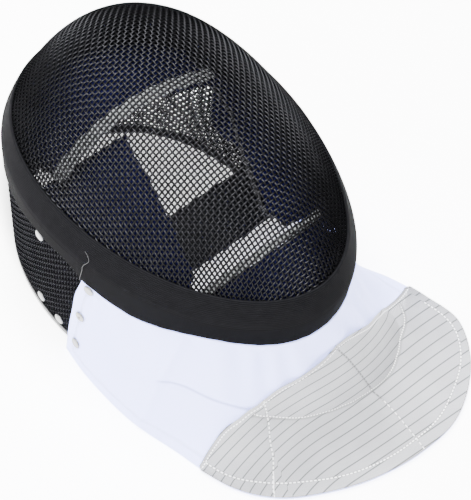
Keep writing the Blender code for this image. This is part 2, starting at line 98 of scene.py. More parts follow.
class Finish:
    """A material: sockets of its Principled shader are set by name, and nodes are added to it."""

    def __init__(self, name, **sockets):
        self.material = bpy.data.materials.new(name)
        self.material.use_nodes = True
        self.tree = self.material.node_tree
        self.shader = self.tree.nodes["Principled BSDF"]
        named = {key.replace("_", " ").title().replace("Ior", "IOR"): value for key, value in sockets.items()}
        self.set(self.shader, named)

    def set(self, node, inputs):
        for key, value in (enumerate(inputs) if isinstance(inputs, list) else inputs.items()):
            socket = node.inputs[key]
            if isinstance(value, Value):
                self.tree.links.new(value.socket, socket)
            elif isinstance(value, tuple) and len(value) == 3 and socket.type == "RGBA":
                socket.default_value = (*value, 1.0)
            else:
                socket.default_value = value

    def node(self, kind, settings, inputs, output=0):
        """Adds a node of a type, with its settings made first and then its inputs."""
        made = self.tree.nodes.new(kind)
        for key, value in settings.items():
            setattr(made, key, value)
        self.set(made, inputs)
        return Value(self, made.outputs[output])

    def place(self, scale=(1.0, 1.0, 1.0), move=(0.0, 0.0, 0.0)):
        """Where a point is, in metres, times a scale and moved."""
        place = self.node("ShaderNodeTexCoord", {}, {}, "Object")
        return self.node("ShaderNodeVectorMath", {"operation": "MULTIPLY_ADD"}, [place, scale, move])

    def map(self, name):
        """A point's pair of lengths in one of its piece's maps: the first and, by of("Y"), the second."""
        flat = self.node("ShaderNodeUVMap", {"uv_map": name}, {})
        return self.node("ShaderNodeSeparateXYZ", {}, [flat])

    def noise(self, scale, detail=2.0, stretch=(1.0, 1.0, 1.0)):
        """Soft random mottling between 0 and 1, with this many patches to a metre."""
        inputs = {"Vector": self.place(stretch), "Scale": scale, "Detail": detail}
        return self.node("ShaderNodeTexNoise", {}, inputs)

    def mix(self, first, second, share):
        """Colour between two colours; a share below 0 counts as 0 and one above 1 as 1."""
        return self.node("ShaderNodeMix", {"data_type": "RGBA"}, {0: share, 6: first, 7: second}, 2)

    def look(self, colour, height, depth, strength=1.0, **others):
        """Sets the colour and the relief: height runs from 0 to 1 and depth is its real size in metres."""
        relief = self.node("ShaderNodeBump", {}, {"Height": height, "Distance": depth, "Strength": strength})
        self.set(self.shader, {"Base Color": colour, "Normal": relief, **others})


half = TABLE_SIZE / 2
table_mesh = bpy.data.meshes.new("table")
table_corners = [(-half, -half, 0), (half, -half, 0), (half, half, 0), (-half, half, 0)]
table_mesh.from_pydata(table_corners, [], [(0, 1, 2, 3)])
table = bpy.data.objects.new("table", table_mesh)
bpy.context.scene.collection.objects.link(table)
table_white = Finish("table_white", roughness=0.9, emission_strength=TABLE_GLOW)
# Painted shadow: the table's colour and glow fall to SHADE_LEVEL inside an oval round the mask, fading at its
# edge.
(reach_x, reach_y), (middle_x, middle_y) = SHADE_REACH, SHADE_MIDDLE
spot = table_white.place((1 / reach_x, 1 / reach_y, 0.0), (-middle_x / reach_x, -middle_y / reach_y, 0.0))
distance = table_white.node("ShaderNodeVectorMath", {"operation": "LENGTH"}, [spot], "Value")
shade = distance.step(*SHADE_EDGE) * (1 - SHADE_LEVEL) + SHADE_LEVEL
table_white.set(table_white.shader, {"Base Color": shade, "Emission Color": shade})
table_mesh.materials.append(table_white.material)

room = bpy.data.worlds.new("white_room")
room.use_nodes = True
room.node_tree.nodes["Background"].inputs["Color"].default_value = (1.0, 1.0, 1.0, 1)
room.node_tree.nodes["Background"].inputs["Strength"].default_value = 0.7
bpy.context.scene.world = room


def unit(directions):
    """Directions, along the last axis, brought to length 1."""
    return directions / np.maximum(np.linalg.norm(directions, axis=-1, keepdims=True), 1e-12)


def stand(holder, side, up, back, place):
    """Puts an object in the scene at a place, with its X, Y and Z axes along three directions."""
    bpy.context.scene.collection.objects.link(holder)
    turn = np.eye(4)
    turn[:3] = np.stack([side, up, back, place], axis=1)
    holder.matrix_world = turn.T.tolist()


def hang_lamp(name, place, target, size, watts):
    """Square lamp at a place, turned to face its target."""
    lamp = bpy.data.lights.new(name, "AREA")
    lamp.size = size
    lamp.energy = watts
    back = unit(np.subtract(place, target))
    side = unit(np.cross((0.1, 1.0, 0.0), back))
    stand(bpy.data.objects.new(name, lamp), side, np.cross(back, side), back, place)


hang_lamp("overhead_lamp", (-0.15, 0.35, 1.6), (0, 0, 0.1), 1.0, 200)
hang_lamp("side_lamp", (-1.3, -0.6, 1.0), (0, 0, 0.1), 0.9, 34)
hang_lamp("back_lamp", (1.1, 1.0, 0.9), (0, 0, 0.15), 0.9, 22)

CAMERA_PLACE = (-0.444393, -0.333689, 0.915232)
CAMERA_AZIMUTH = math.radians(-50.466777)
CAMERA_ELEVATION = math.radians(55.465786)
CAMERA_ROLL = math.radians(11.4823)
CAMERA_FOCUS = 1415.197 / 500      # focal length as a share of the picture's long side
CAMERA_SHIFT = (0.0630, -0.0936)   # the picture is cut from the lower right of a wider one

sa, ca = math.sin(CAMERA_AZIMUTH), math.cos(CAMERA_AZIMUTH)
se, ce = math.sin(CAMERA_ELEVATION), math.cos(CAMERA_ELEVATION)
sr, cr = math.sin(CAMERA_ROLL), math.cos(CAMERA_ROLL)
back = np.array((sa * ce, -ca * ce, se))
level = np.array((ca, sa, 0.0))
upright = np.cross(back, level)
lens = bpy.data.cameras.new("camera")
lens.lens = CAMERA_FOCUS * lens.sensor_width
lens.shift_x, lens.shift_y = CAMERA_SHIFT
lens.clip_start = 0.05
camera = bpy.data.objects.new("camera", lens)
stand(camera, level * cr + upright * sr, upright * cr - level * sr, back, CAMERA_PLACE)
bpy.context.scene.camera = camera


# ---------------------------------------------------------------- face mesh
# The domed front of the mask: plain-woven 1.0 mm steel wire, pressed to shape from one flat
# piece and dipped in a thick black coat.  The cells keep their wires' length and slant where the
# dome curves.
MASK_CENTRE = np.array((-0.01626, 0.04351, 0.0))
SEAM_LENGTH = 0.290
SEAM_WIDTH = 0.208
CROWN_FULLNESS = 0.125
SEAM_BOW = 0.0056
SEAM_HEIGHT = 0.1190
LEAN = math.radians(-3.5)
DOME_MIDDLE = 0.0885
DOME_SLOPE = 0.0225
DOME_ENDS = 0.0455
DOME_ROUND = 2.31
DOME_FALL = 0.89
TRIM_WALL = 0.0016
GAP = 0.0003                    # left free between neighbours
MESH_WALL = 0.0018
MESH_INSET = TRIM_WALL + GAP    # the mesh lies this far inside the seam's line, under the trim
WALL_INSIDE = MESH_INSET + MESH_WALL
WIRE_RADIUS = 0.00074           # the wire with its coat
WIRE_PITCH = 0.0031
WIRE_CRIMP = 0.00055            # how far a wire swings to each side of the weave's middle
WIRE_SIDES = 6
NET_REACH = math.pi / 2 * 1.12  # the net is worked out a little past the seam and cut back to it
NET_EDGE = math.pi / 2 * 0.995


def lean(points):
    """Turns points of the seam's plane about X by LEAN, lifts them by SEAM_HEIGHT and moves them
    from the mask's middle to where the mask lies."""
    x, y, z = points[..., 0], points[..., 1], points[..., 2]
    return MASK_CENTRE + np.stack([
        x,
        y * math.cos(LEAN) - z * math.sin(LEAN),
        y * math.sin(LEAN) + z * math.cos(LEAN) + SEAM_HEIGHT,
    ], axis=-1)


def seam(angle, inset):
    """Egg-shaped line: an ellipse in the angle from the crown, whose width grows by
    CROWN_FULLNESS times the angle's cosine and which bows up towards the brow."""
    along = np.cos(angle)
    y = (SEAM_LENGTH / 2 - inset) * along
    x = (SEAM_WIDTH / 2 - inset) * np.sin(angle) * (1 + CROWN_FULLNESS * along)
    return x, y, SEAM_BOW * along * (1 - along ** 2)


def face_point(angle, share, inset):
    """The seam line drawn in to a share of its size, and raised by a rise that depends on how far
    along the mask it is, times (1 - share^DOME_ROUND)^DOME_FALL."""
    x, y, bow = seam(angle, inset)
    along = y * share / (SEAM_LENGTH / 2)
    rise = DOME_MIDDLE - inset + DOME_SLOPE * along + DOME_ENDS * along ** 2
    height = rise * np.clip(1 - share ** DOME_ROUND, 1e-9, 1) ** DOME_FALL
    return np.stack(np.broadcast_arrays(x * share, y * share, bow * share ** 2 + height), axis=-1)


def dome_point(tilt):
    """Middle of the weave: tilt is a pair of numbers whose direction is the angle from the crown
    and whose length, from 0 at the middle to a quarter turn at the seam, is the share's arcsine."""
    length = np.hypot(tilt[..., 0], tilt[..., 1]) + 1e-12
    angle = np.arctan2(tilt[..., 0], tilt[..., 1])
    point = face_point(angle, np.sin(np.minimum(length, math.pi / 2)), MESH_INSET + MESH_WALL / 2)
    point[..., 2] -= np.maximum(length - math.pi / 2, 0) * 0.1
    return point


def slopes(surface, at, small=1e-5):
    """The two directions of a surface at a point, as differences over a small step."""
    return [
        (surface(at + step) - surface(at - step)) / (2 * small)
        for step in (np.array((small, 0.0)), np.array((0.0, small)))
    ]


def run_along(points):
    """Length of the way to each point from the first, down the first axis."""
    steps = np.linalg.norm(np.diff(points, axis=0), axis=-1)
    return np.concatenate([np.zeros((1, *steps.shape[1:])), np.cumsum(steps, axis=0)])


def axis_knots(direction):
    """Tilts at equal steps of arc length from the dome's middle out along one of the mask's axes."""
    tilt = np.linspace(0, NET_REACH, 3000)[:, None] * np.array(direction)
    run = run_along(dome_point(tilt))
    steps = np.arange(int(run[-1] / WIRE_PITCH)) * WIRE_PITCH
    return np.stack([np.interp(steps, run, tilt[:, k]) for k in (0, 1)], axis=1)


def next_knots(knots, row, column):
    """Fourth corners of cells: on the dome, one pitch from both neighbours (Newton's method)."""
    before, below, corner = knots[row - 1, column], knots[row, column - 1], knots[row - 1, column - 1]
    at_before, at_below = dome_point(before), dome_point(below)
    tilt = before + below - corner
    for _ in range(8):
        point = dome_point(tilt)
        along, across = slopes(dome_point, tilt)
        miss_a = ((point - at_before) ** 2).sum(-1) - WIRE_PITCH ** 2
        miss_b = ((point - at_below) ** 2).sum(-1) - WIRE_PITCH ** 2
        a1, a2 = (2 * ((point - at_before) * s).sum(-1) for s in (along, across))
        b1, b2 = (2 * ((point - at_below) * s).sum(-1) for s in (along, across))
        whole = a1 * b2 - a2 * b1
        whole = np.where(np.abs(whole) < 1e-14, 1e-14, whole)
        change = np.stack([miss_a * b2 - miss_b * a2, miss_b * a1 - miss_a * b1], axis=-1) / whole[:, None]
        size = np.linalg.norm(change, axis=1, keepdims=True)
        tilt = tilt - change * np.minimum(1, 0.1 / np.maximum(size, 1e-9))
    far = np.abs(np.linalg.norm(dome_point(tilt) - at_before, axis=-1) - WIRE_PITCH) > WIRE_PITCH * 0.05
    tilt[far | (np.hypot(tilt[:, 0], tilt[:, 1]) > NET_REACH)] = np.nan
    return tilt


def quarter_net(end):
    """One quarter of the weave's crossings, filled in diagonal by diagonal from the two axes."""
    side, middle = axis_knots((1.0, 0.0)), axis_knots((0.0, end))
    knots = np.full((len(side), len(middle), 2), np.nan)
    knots[:, 0], knots[0, :] = side, middle
    for diagonal in range(2, len(side) + len(middle) - 1):
        row = np.arange(max(1, diagonal - len(middle) + 1), min(len(side) - 1, diagonal - 1) + 1)
        column = diagonal - row
        ready = np.isfinite(knots[row - 1, column, 0] + knots[row, column - 1, 0])
        row, column = row[ready], column[ready]
        if len(row):
            knots[row, column] = next_knots(knots, row, column)
    return knots


crown_net, chin_net = quarter_net(1.0), quarter_net(-1.0)
left_net = np.concatenate([chin_net[:, :0:-1], crown_net], axis=1)
right_net = left_net[:0:-1] * np.array((-1.0, 1.0))
face_net = np.concatenate([right_net, left_net], axis=0)
face_net[np.hypot(face_net[..., 0], face_net[..., 1]) > NET_EDGE] = np.nan


def make_mesh(name, points, polygons, **maps):
    """A smooth mesh from an array of points and arrays of polygons, each with its own number of
    corners; each map gives every point a pair of lengths in metres, such as its place on flat cloth."""
    mesh = bpy.data.meshes.new(name)
    points = np.asarray(points, float).reshape(-1, 3)
    polygons = [np.asarray(p, np.int32) for p in polygons if len(p)]
    corners = np.concatenate([p.ravel() for p in polygons])
    counts = np.concatenate([np.full(len(p), p.shape[1]) for p in polygons])
    starts = np.concatenate([[0], np.cumsum(counts)[:-1]])
    mesh.vertices.add(len(points))
    mesh.vertices.foreach_set("co", points.astype(np.float32).ravel())
    mesh.loops.add(len(corners))
    mesh.loops.foreach_set("vertex_index", corners)
    mesh.polygons.add(len(counts))
    mesh.polygons.foreach_set("loop_start", starts.astype(np.int32))
    for key, pairs in maps.items():
        layer = mesh.uv_layers.new(name=key)
        layer.data.foreach_set("uv", pairs.reshape(-1, 2)[corners].astype(np.float32).ravel())
    mesh.update(calc_edges=True)
    mesh.validate()
    mesh.shade_smooth()
    piece = bpy.data.objects.new(name, mesh)
    bpy.context.scene.collection.objects.link(piece)
    return piece


def ring(up, side, count):
    """This many unit directions round a wire, from its normal towards its side."""
    turn = np.linspace(0, 2 * math.pi, count, endpoint=False)[:, None]
    return np.cos(turn) * up[..., None, :] + np.sin(turn) * side[..., None, :]


def wire_tubes(name, lines, normals, radius, sides):
    """Round wires along rows of points: a ring of the given sides at each point, square to the
    wire and starting on its normal; gaps in a row end a wire with a flat cap."""
    valid = np.isfinite(lines[..., 0])
    filled = np.where(valid[..., None], lines, 0.0)
    before = np.roll(filled, 1, axis=1)
    after = np.roll(filled, -1, axis=1)
    has_before = valid & np.roll(valid, 1, axis=1)
    has_after = valid & np.roll(valid, -1, axis=1)
    has_before[:, 0] = False
    has_after[:, -1] = False
    way = np.where(has_after[..., None], after, filled) - np.where(has_before[..., None], before, filled)
    way = unit(way)
    up = np.where(valid[..., None], normals, 0.0)
    up = unit(up - (up * way).sum(-1, keepdims=True) * way)
    points = filled[..., None, :] + radius * ring(up, np.cross(way, up), sides)
    used = valid & (has_before | has_after)
    number = np.full(valid.shape, -1)
    number[used] = np.arange(used.sum())
    first = number[:, :-1][has_after[:, :-1]]
    second = number[:, 1:][has_after[:, :-1]]
    corner = np.arange(sides)
    beside = (corner + 1) % sides
    walls = np.stack([
        first[:, None] * sides + corner, second[:, None] * sides + corner,
        second[:, None] * sides + beside, first[:, None] * sides + beside,
    ], axis=-1).reshape(-1, 4)
    starts = number[used & ~has_before][:, None] * sides + corner
    ends = number[used & ~has_after][:, None] * sides + corner[::-1]
    return make_mesh(name, points[used], [walls, starts, ends])


def weave_lines(net, surface, wires_across, crimp):
    """Both sets of wires of a woven net.  A wire passes over and under by turns, so at each
    crossing it stands off the surface by the crimp, and halfway between it lies in the middle."""
    if wires_across:
        net = net.swapaxes(0, 1)
    rows, columns = net.shape[:2]
    path = np.full((rows, columns * 2 - 1, 2), np.nan)
    path[:, ::2] = net
    path[:, 1::2] = (net[:, 1:] + net[:, :-1]) / 2
    parity = 1 - 2 * ((np.arange(rows)[:, None] + np.arange(columns)[None, :]) % 2)
    swing = np.zeros((rows, columns * 2 - 1))
    swing[:, ::2] = parity * (crimp if wires_across else -crimp)
    safe = np.where(np.isfinite(path), path, 0.3)
    along, across = slopes(surface, safe)
    out = unit(np.cross(along, across))
    lines = surface(safe) + out * swing[..., None]
    lines[~np.isfinite(path[..., 0])] = np.nan
    return lines, out


def wire_finish(name, coat, rubbed):
    """Glossy black coat on wire, a little paler where it has been rubbed."""
    finish = Finish(name, metallic=1.0, specular_tint=(0.05, 0.05, 0.05))
    wear = finish.noise(900.0, 3.0)
    mottle = finish.noise(60.0)
    finish.look(finish.mix(coat, rubbed, wear * mottle * 1.6), wear, 0.00004, Roughness=0.34 + wear * 0.15)
    return finish


wire_black = wire_finish("black_wire", (0.0075, 0.0075, 0.0083), (0.0170, 0.0170, 0.0185))


def finish_piece(piece, finish, slot, *nodes):
    """Gives a piece its material, hangs it from the root body and hides the CAD nodes that it stands for; the
    slot is not used.
    """
    piece.data.materials.append(finish.material)
    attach(piece, "root")
    if nodes:
        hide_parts(*nodes)
    return piece


def lay_wires(names, net, surface, wires_across, finish, node, sides, radius, crimp):
    """Wires of one set, in as many pieces as there are names."""
    lines, out = weave_lines(net, surface, wires_across, crimp)
    for name, part, normal in zip(names, np.array_split(lines, len(names)), np.array_split(out, len(names))):
        finish_piece(wire_tubes(name, part, normal, radius, sides), finish, "black_wire", node)


def leaning_dome(tilt):
    return lean(dome_point(tilt))


for names, wires_across in ((("face_wires_long_right", "face_wires_long_left"), False),
                            (("face_wires_across_chin", "face_wires_across_crown"), True)):
    lay_wires(names, face_net, leaning_dome, wires_across, wire_black, "face_mesh", WIRE_SIDES, WIRE_RADIUS,
              WIRE_CRIMP)


# ---------------------------------------------------------------- rear mesh
# The upright wall round the crown and both sides, of the same wire bent round the seam's outline.
# Its upright wires run down from the seam and wave round the level ones, which are nearly straight.
REAR_TAPER = 0.030
REAR_END_Y = -0.031
RIM_WALL = 0.0026
RIM_HEIGHT = 0.0058
FIRST_UPRIGHT = 0.0005          # how far in from the wall's end
FIRST_LEVEL = 0.0016            # how far below the seam
REAR_WIRE_SIDES = 5
REAR_WIRE_RADIUS = 0.00070
UPRIGHT_CRIMP = 0.0009
LEVEL_CRIMP = 0.0002


def rear_point(angle, drop, inset):
    """The seam line lowered by the drop and drawn in by REAR_TAPER over the whole height."""
    x, y, bow = seam(angle, inset)
    draw_in = 1 - REAR_TAPER * drop / SEAM_HEIGHT
    return np.stack(np.broadcast_arrays(x * draw_in, y * draw_in, bow - drop), axis=-1)


def drop_to_height(angle, height, inset):
    """The drop at which the rear wall comes to this height above the table, by repeated correction."""
    drop = np.full(np.shape(angle), SEAM_HEIGHT - height)
    for _ in range(6):
        drop = drop + lean(rear_point(angle, drop, inset))[..., 2] - height
    return drop


def angle_at_y(y, height, inset):
    """The angle at which the rear wall passes this distance along the mask, read off a fine table."""
    angle = np.linspace(0, math.pi, 2001)
    line = lean(rear_point(angle, drop_to_height(angle, height, inset), inset))[:, 1] - MASK_CENTRE[1]
    return float(np.interp(-y, -line, angle))


rear_end = angle_at_y(REAR_END_Y, SEAM_HEIGHT / 2, MESH_INSET)
rear_middle = MESH_INSET + MESH_WALL / 2
fine = np.linspace(-rear_end, rear_end, 4001)
fine_line = rear_point(fine, 0.05, rear_middle)
fine_run = run_along(fine_line)
uprights = np.interp(np.arange(FIRST_UPRIGHT, fine_run[-1], WIRE_PITCH), fine_run, fine)
foot = drop_to_height(uprights, RIM_HEIGHT * 0.6, rear_middle)
drops = FIRST_LEVEL + np.arange(SEAM_HEIGHT // WIRE_PITCH + 1) * WIRE_PITCH
rear_net = np.stack(np.broadcast_arrays(uprights[:, None], drops[None, :]), axis=-1).copy()
rear_net[drops[None, :] > foot[:, None]] = np.nan


def leaning_wall(at):
    """The rear wall's middle layer at an angle and a drop."""
    return lean(rear_point(at[..., 0], at[..., 1], rear_middle))


# The same coated wire in two tones: the upright wires are paler, a painted highlight of the side light, and
# the level wires darker, painted shade.
upright_wire_painted_light = wire_finish("black_upright_wire_painted_light", (0.011, 0.011, 0.012), (0.028, 0.028, 0.030))
level_wire_painted_shade = wire_finish("black_level_wire_painted_shade", (0.006, 0.006, 0.007), (0.014, 0.014, 0.015))
for name, wires_across, finish, crimp in (("rear_wires_upright", False, upright_wire_painted_light, UPRIGHT_CRIMP),
                                          ("rear_wires_level", True, level_wire_painted_shade, LEVEL_CRIMP)):
    lay_wires((name,), rear_net, leaning_wall, wires_across, finish, "rear_mesh", REAR_WIRE_SIDES,
              REAR_WIRE_RADIUS, crimp)


# ---------------------------------------------------------------- rear rim
# Strip steel folded over the cut lower edge of the rear mesh and pressed flat.  A thin black strip shows just
# above it outside, and a black band runs up the inside of the wall's foot to about 10 mm.  The mask lies on
# it.
RIM_CORNER = 0.0008
RIM_AROUND = 260


def grid_quads(rows, columns, closed_rows=False, closed_columns=False):
    """Quads of a grid of points whose rows run one after another.  A closed grid also joins its
    last row or column to its first."""
    row, column = np.meshgrid(np.arange(rows - 1 + closed_rows), np.arange(columns - 1 + closed_columns),
                              indexing="ij")
    below, beside = (row + 1) % rows, (column + 1) % columns
    return np.stack([row * columns + column, row * columns + beside,
                     below * columns + beside, below * columns + column], axis=-1).reshape(-1, 4)


def carried(name, rows):
    """A profile carried along a path: rows of section points become quads, with closed ends."""
    along, count = rows.shape[:2]
    first = np.arange(count)[::-1][None, :]
    last = (along - 1) * count + np.arange(count)[None, :]
    return make_mesh(name, rows, [grid_quads(along, count, closed_columns=True), first, last])


def wall_strip(inset, wall, low, high, corner):
    """A strip that follows the rear wall between two heights: a rounded oblong section, four arcs
    of four points, at each angle round the rear."""
    end = angle_at_y(REAR_END_Y, RIM_HEIGHT / 2, MESH_INSET)
    angle = np.linspace(-end, end, RIM_AROUND)
    corners = ((corner, low + corner, 180), (corner, high - corner, 90),
               (wall - corner, high - corner, 0), (wall - corner, low + corner, -90))
    rows = []
    for inwards, height, start in corners:
        for turn in np.radians(start + np.array((90, 60, 30, 0))):
            depth, level = inset + inwards + corner * math.cos(turn), height + corner * math.sin(turn)
            line = lean(rear_point(angle, drop_to_height(angle, level, depth), depth))
            line[:, 2] = level
            rows.append(line)
    return np.stack(rows, axis=1)


def steel_finish(name, dull, bright):
    """Brushed steel with smudges."""
    finish = Finish(name, metallic=1.0)
    brushed = finish.noise(700.0, 4.0, (1.0, 1.0, 0.12))
    smudge = finish.noise(45.0, 3.0)
    metal = finish.mix(dull, bright, brushed * 0.5 + smudge * 0.5)
    finish.look(metal, brushed, 0.00004, Roughness=0.28 + smudge * 0.22)
    return finish


rim_steel = steel_finish("grey_steel", (0.03, 0.03, 0.03), (0.08, 0.08, 0.08))
rim = wall_strip(MESH_INSET - (RIM_WALL - MESH_WALL) / 2, RIM_WALL, 0.0, RIM_HEIGHT, RIM_CORNER)
finish_piece(carried("rear_rim_folded", rim), rim_steel, "bright_steel", "rear_rim")

edge_black = Finish("black_rim_strip", roughness=0.75, specular_ior_level=0.1)
fluff = edge_black.noise(400.0)
edge_colour = edge_black.mix((0.0015, 0.0015, 0.0018), (0.006, 0.006, 0.007), fluff)
edge_black.set(edge_black.shader, {"Base Color": edge_colour})
# Black strips beside the rim: outside, a thin one standing just above it; inside, a band up the wall's foot.
outer_black_strip = wall_strip(MESH_INSET - 0.0003, 0.0003, RIM_HEIGHT - 0.0016, RIM_HEIGHT + 0.0014, 0.00012)
inner_black_strip = wall_strip(WALL_INSIDE + 0.0005, 0.0007, 0.0012, 0.0105, 0.0003)
finish_piece(carried("rim_black_strip_outside", outer_black_strip), edge_black, "charcoal_tape")
finish_piece(carried("rim_black_strip_inside", inner_black_strip), edge_black, "charcoal_tape")


# ---------------------------------------------------------------- trim
# Ribbed black tape bound over the seam where both meshes meet, outside and inside.  It is pulled
# on damp, so it lies flat on the face mesh and puckers slightly at its rear edge; its ends meet at
# the wearer's right.
TRIM_ON_FACE = 0.0215
TRIM_ON_REAR = (                # angle round from the crown (-90 is the wearer's right), width on the rear
    (-360.0, 0.0205),
    (-186.0, 0.0205),
    (-180.0, 0.0210),
    (-170.0, 0.0218),
    (-162.0, 0.0217),
    (-154.0, 0.0209),
    (-146.0, 0.0198),
    (-138.0, 0.0190),
    (-132.0, 0.0199),
    (-126.0, 0.0221),
    (-120.0, 0.0248),
    (-114.0, 0.0267),
    (-108.0, 0.0260),
    (-102.0, 0.0239),
    (-96.0, 0.0209),
    (-91.0, 0.0150),
    (-84.0, 0.0143),
    (-78.0, 0.0150),
    (-73.0, 0.0162),
    (-68.0, 0.0188),
    (-62.0, 0.0204),
    (-56.0, 0.0205),
    (0.0, 0.0205),
)
TRIM_AROUND = 420
TRIM_ACROSS = 27
TRIM_TURN_OVER = 0.0022         # it bends round the seam within this distance
TRIM_RIB = 0.0014
TRIM_ROUND = 0.79               # its length round the seam
TRIM_INSIDE = (0.0065, 0.0340)  # the inner half's two edges, down from the seam
TRIM_JOIN = math.radians(360 - 94.3)
TRIM_LAP = 0.0007               # its ends lap, so it rises by this towards the join
TRIM_LAP_ANGLE = 0.10
TRIM_PUCKER = 0.00022
TRIM_EDGE = 0.0004              # how much thinner it is at its edges


def curve_through(table, at):
    """Smooth value of each further column of a table at first-column values: cubics through the
    rows whose slopes are the rows' own central differences."""
    rows = np.array(table, float)
    keys = rows[:, 0]
    at = np.clip(np.asarray(at, float), keys[0], keys[-1])
    low = np.clip(np.searchsorted(keys, at, side="right") - 1, 0, len(keys) - 2)
    step = keys[low + 1] - keys[low]
    t = (at - keys[low]) / step
    curves = []
    for values in rows[:, 1:].T:
        slope = np.gradient(values, keys)
        curves.append(
            (2 * t ** 3 - 3 * t ** 2 + 1) * values[low] + (t ** 3 - 2 * t ** 2 + t) * step * slope[low]
            + (3 * t ** 2 - 2 * t ** 3) * values[low + 1] + (t ** 3 - t ** 2) * step * slope[low + 1])
    return curves


def trim_on_rear(angle):
    """Width of the trim down the rear mesh, from its table, at an angle in either direction."""
    return curve_through(TRIM_ON_REAR, -np.mod(-np.degrees(angle), 360.0))[0]


def trim_outer(angle, cross):
    """The tape's outer face: cross runs from its edge on the face mesh (-1) over the seam (0) to
    its rear edge (1).  On the face mesh it follows equal steps of arc length below the seam."""
    share = np.linspace(1.0, 0.55, 80)[:, None]
    line = face_point(angle[None, :], share, 0.0)
    run = run_along(line)
    reach = -cross[:, None] * np.where(cross[:, None] < 0, TRIM_ON_FACE, trim_on_rear(angle)[None, :])
    up = np.maximum(-cross * TRIM_ON_FACE, TRIM_TURN_OVER)
    index = np.array([np.clip(np.searchsorted(run[:, k], up), 1, len(run) - 1) for k in range(len(angle))]).T
    column = np.arange(len(angle))[None, :]
    low, high = run[index - 1, column], run[index, column]
    part = ((up[:, None] - low) / (high - low))[..., None]
    above = line[index - 1, column] * (1 - part) + line[index, column] * part
    below = rear_point(angle[None, :], np.maximum(-reach, TRIM_TURN_OVER), 0.0)
    bend = np.clip((TRIM_TURN_OVER - reach) / (2 * TRIM_TURN_OVER), 0, 1)[..., None]
    smooth = bend * bend * (3 - 2 * bend)
    return above * (1 - smooth) + below * smooth, TRIM_ON_FACE - reach


def surface_normals(points):
    """Unit normals of a grid closed round the seam, from the differences between neighbours."""
    along = np.roll(points, -1, axis=1) - np.roll(points, 1, axis=1)
    return unit(np.cross(np.gradient(points, axis=0), along))


angle = np.linspace(0, 2 * math.pi, TRIM_AROUND, endpoint=False)
cross = np.linspace(-1, 1, TRIM_ACROSS)
trim_points, trim_width = trim_outer(angle, cross)
trim_out = -surface_normals(trim_points)
pucker = np.sin(angle * 47 + 1.3 * np.sin(angle * 11)) * 0.5 + np.sin(angle * 71 + 2.0) * 0.3
relief = np.outer(np.clip((cross - 0.1) / 0.9, 0, 1) ** 2, pucker) * TRIM_PUCKER
past_join = TRIM_JOIN - angle
lap = np.where(past_join > 0, np.exp(-np.maximum(past_join, 0) / TRIM_LAP_ANGLE), 0.0) * TRIM_LAP
relief = relief + lap[None, :] - np.where(np.abs(cross) > 0.96, TRIM_EDGE, 0.0)[:, None]
sections = np.concatenate([
    trim_points + trim_out * relief[..., None],
    (trim_points + trim_out * (relief - TRIM_WALL * 0.9)[..., None])[::-1],
], axis=0)


def round_band(name, sections, width):
    """A band closed all round the seam: each row is a line of points round it, and the rows run
    down the band's outside and back up its inside.  Its cloth map is its run round and its width."""
    rows, columns = sections.shape[:2]
    run = np.linspace(0, TRIM_ROUND, columns, endpoint=False)[None, :]
    cloth = np.stack(np.broadcast_arrays(run, np.concatenate([width, width[::-1]])), axis=-1)
    return make_mesh(name, lean(sections), [grid_quads(rows, columns, True, True)], cloth=cloth)


trim = round_band("trim_tape", sections, trim_width)
drops = np.linspace(*TRIM_INSIDE, 12)[:, None]
inner_front, inner_back = (rear_point(angle[None, :], drops, WALL_INSIDE + off) for off in (0.0004, 0.0012))
trim_inside = round_band("trim_tape_inside", np.concatenate([inner_front, inner_back[::-1]]),
                         np.repeat(drops, TRIM_AROUND, axis=1))

tape = Finish("charcoal_tape", roughness=0.9, specular_ior_level=0.02)
flat = tape.map("cloth")
rib = flat.of("Y").wave(TRIM_RIB)
picks = flat.wave(0.0007)
fluff = tape.noise(160.0, 4.0)
pile = tape.mix((0.0010, 0.0010, 0.0013), (0.0056, 0.0056, 0.0064), rib * 0.55 + fluff * 0.5)
# Painted shade: the tape is darker from the seam over and down the rear mesh, and on the lower part of its
# inner half.
rear_painted_shade = tape.mix(pile, (0.0012, 0.0012, 0.0015), flat.of("Y").step(0.019, 0.026) * 0.8)
tape.look(rear_painted_shade, rib * 0.6 + picks * 0.2 + fluff * 0.4, 0.0004)
finish_piece(trim, tape, "charcoal_tape", "trim_band")
finish_piece(trim_inside, tape, "charcoal_tape")


# ---------------------------------------------------------------- bib
# Two layers of white cotton drill, turned in and stitched at the hem and sewn under the trim.  It
# stands out from jaw and chin and spreads on the table, with the creases of having been packed.
BIB_WALL = 0.0016
BIB_CURL = 1.25
BIB_FALL = (                    # angle round the trim, hem x, hem y, how steeply the cloth falls
    (-268.0, 0.1035, 0.0060, 1.00),
    (-263.0, 0.1046, -0.0110, 1.00),
    (-250.0, 0.1090, -0.0492, 1.02),
    (-238.0, 0.1136, -0.0871, 1.15),
    (-226.0, 0.1275, -0.1163, 1.60),
    (-216.0, 0.1367, -0.1441, 2.05),
    (-207.0, 0.1413, -0.1765, 2.20),
    (-198.0, 0.1203, -0.2080, 2.15),
    (-189.0, 0.0830, -0.2299, 2.05),
    (-180.0, 0.0435, -0.2328, 1.95),
    (-170.0, 0.0015, -0.2258, 1.85),
    (-160.0, -0.0334, -0.2122, 1.75),
    (-150.0, -0.0625, -0.1943, 1.62),
    (-139.0, -0.0843, -0.1662, 1.45),
    (-128.0, -0.0964, -0.1237, 1.25),
    (-117.0, -0.1071, -0.0832, 1.10),
    (-107.0, -0.1095, -0.0417, 1.02),
    (-97.0, -0.1065, -0.0092, 1.00),
    (-92.0, -0.1040, 0.0060, 1.00),
)
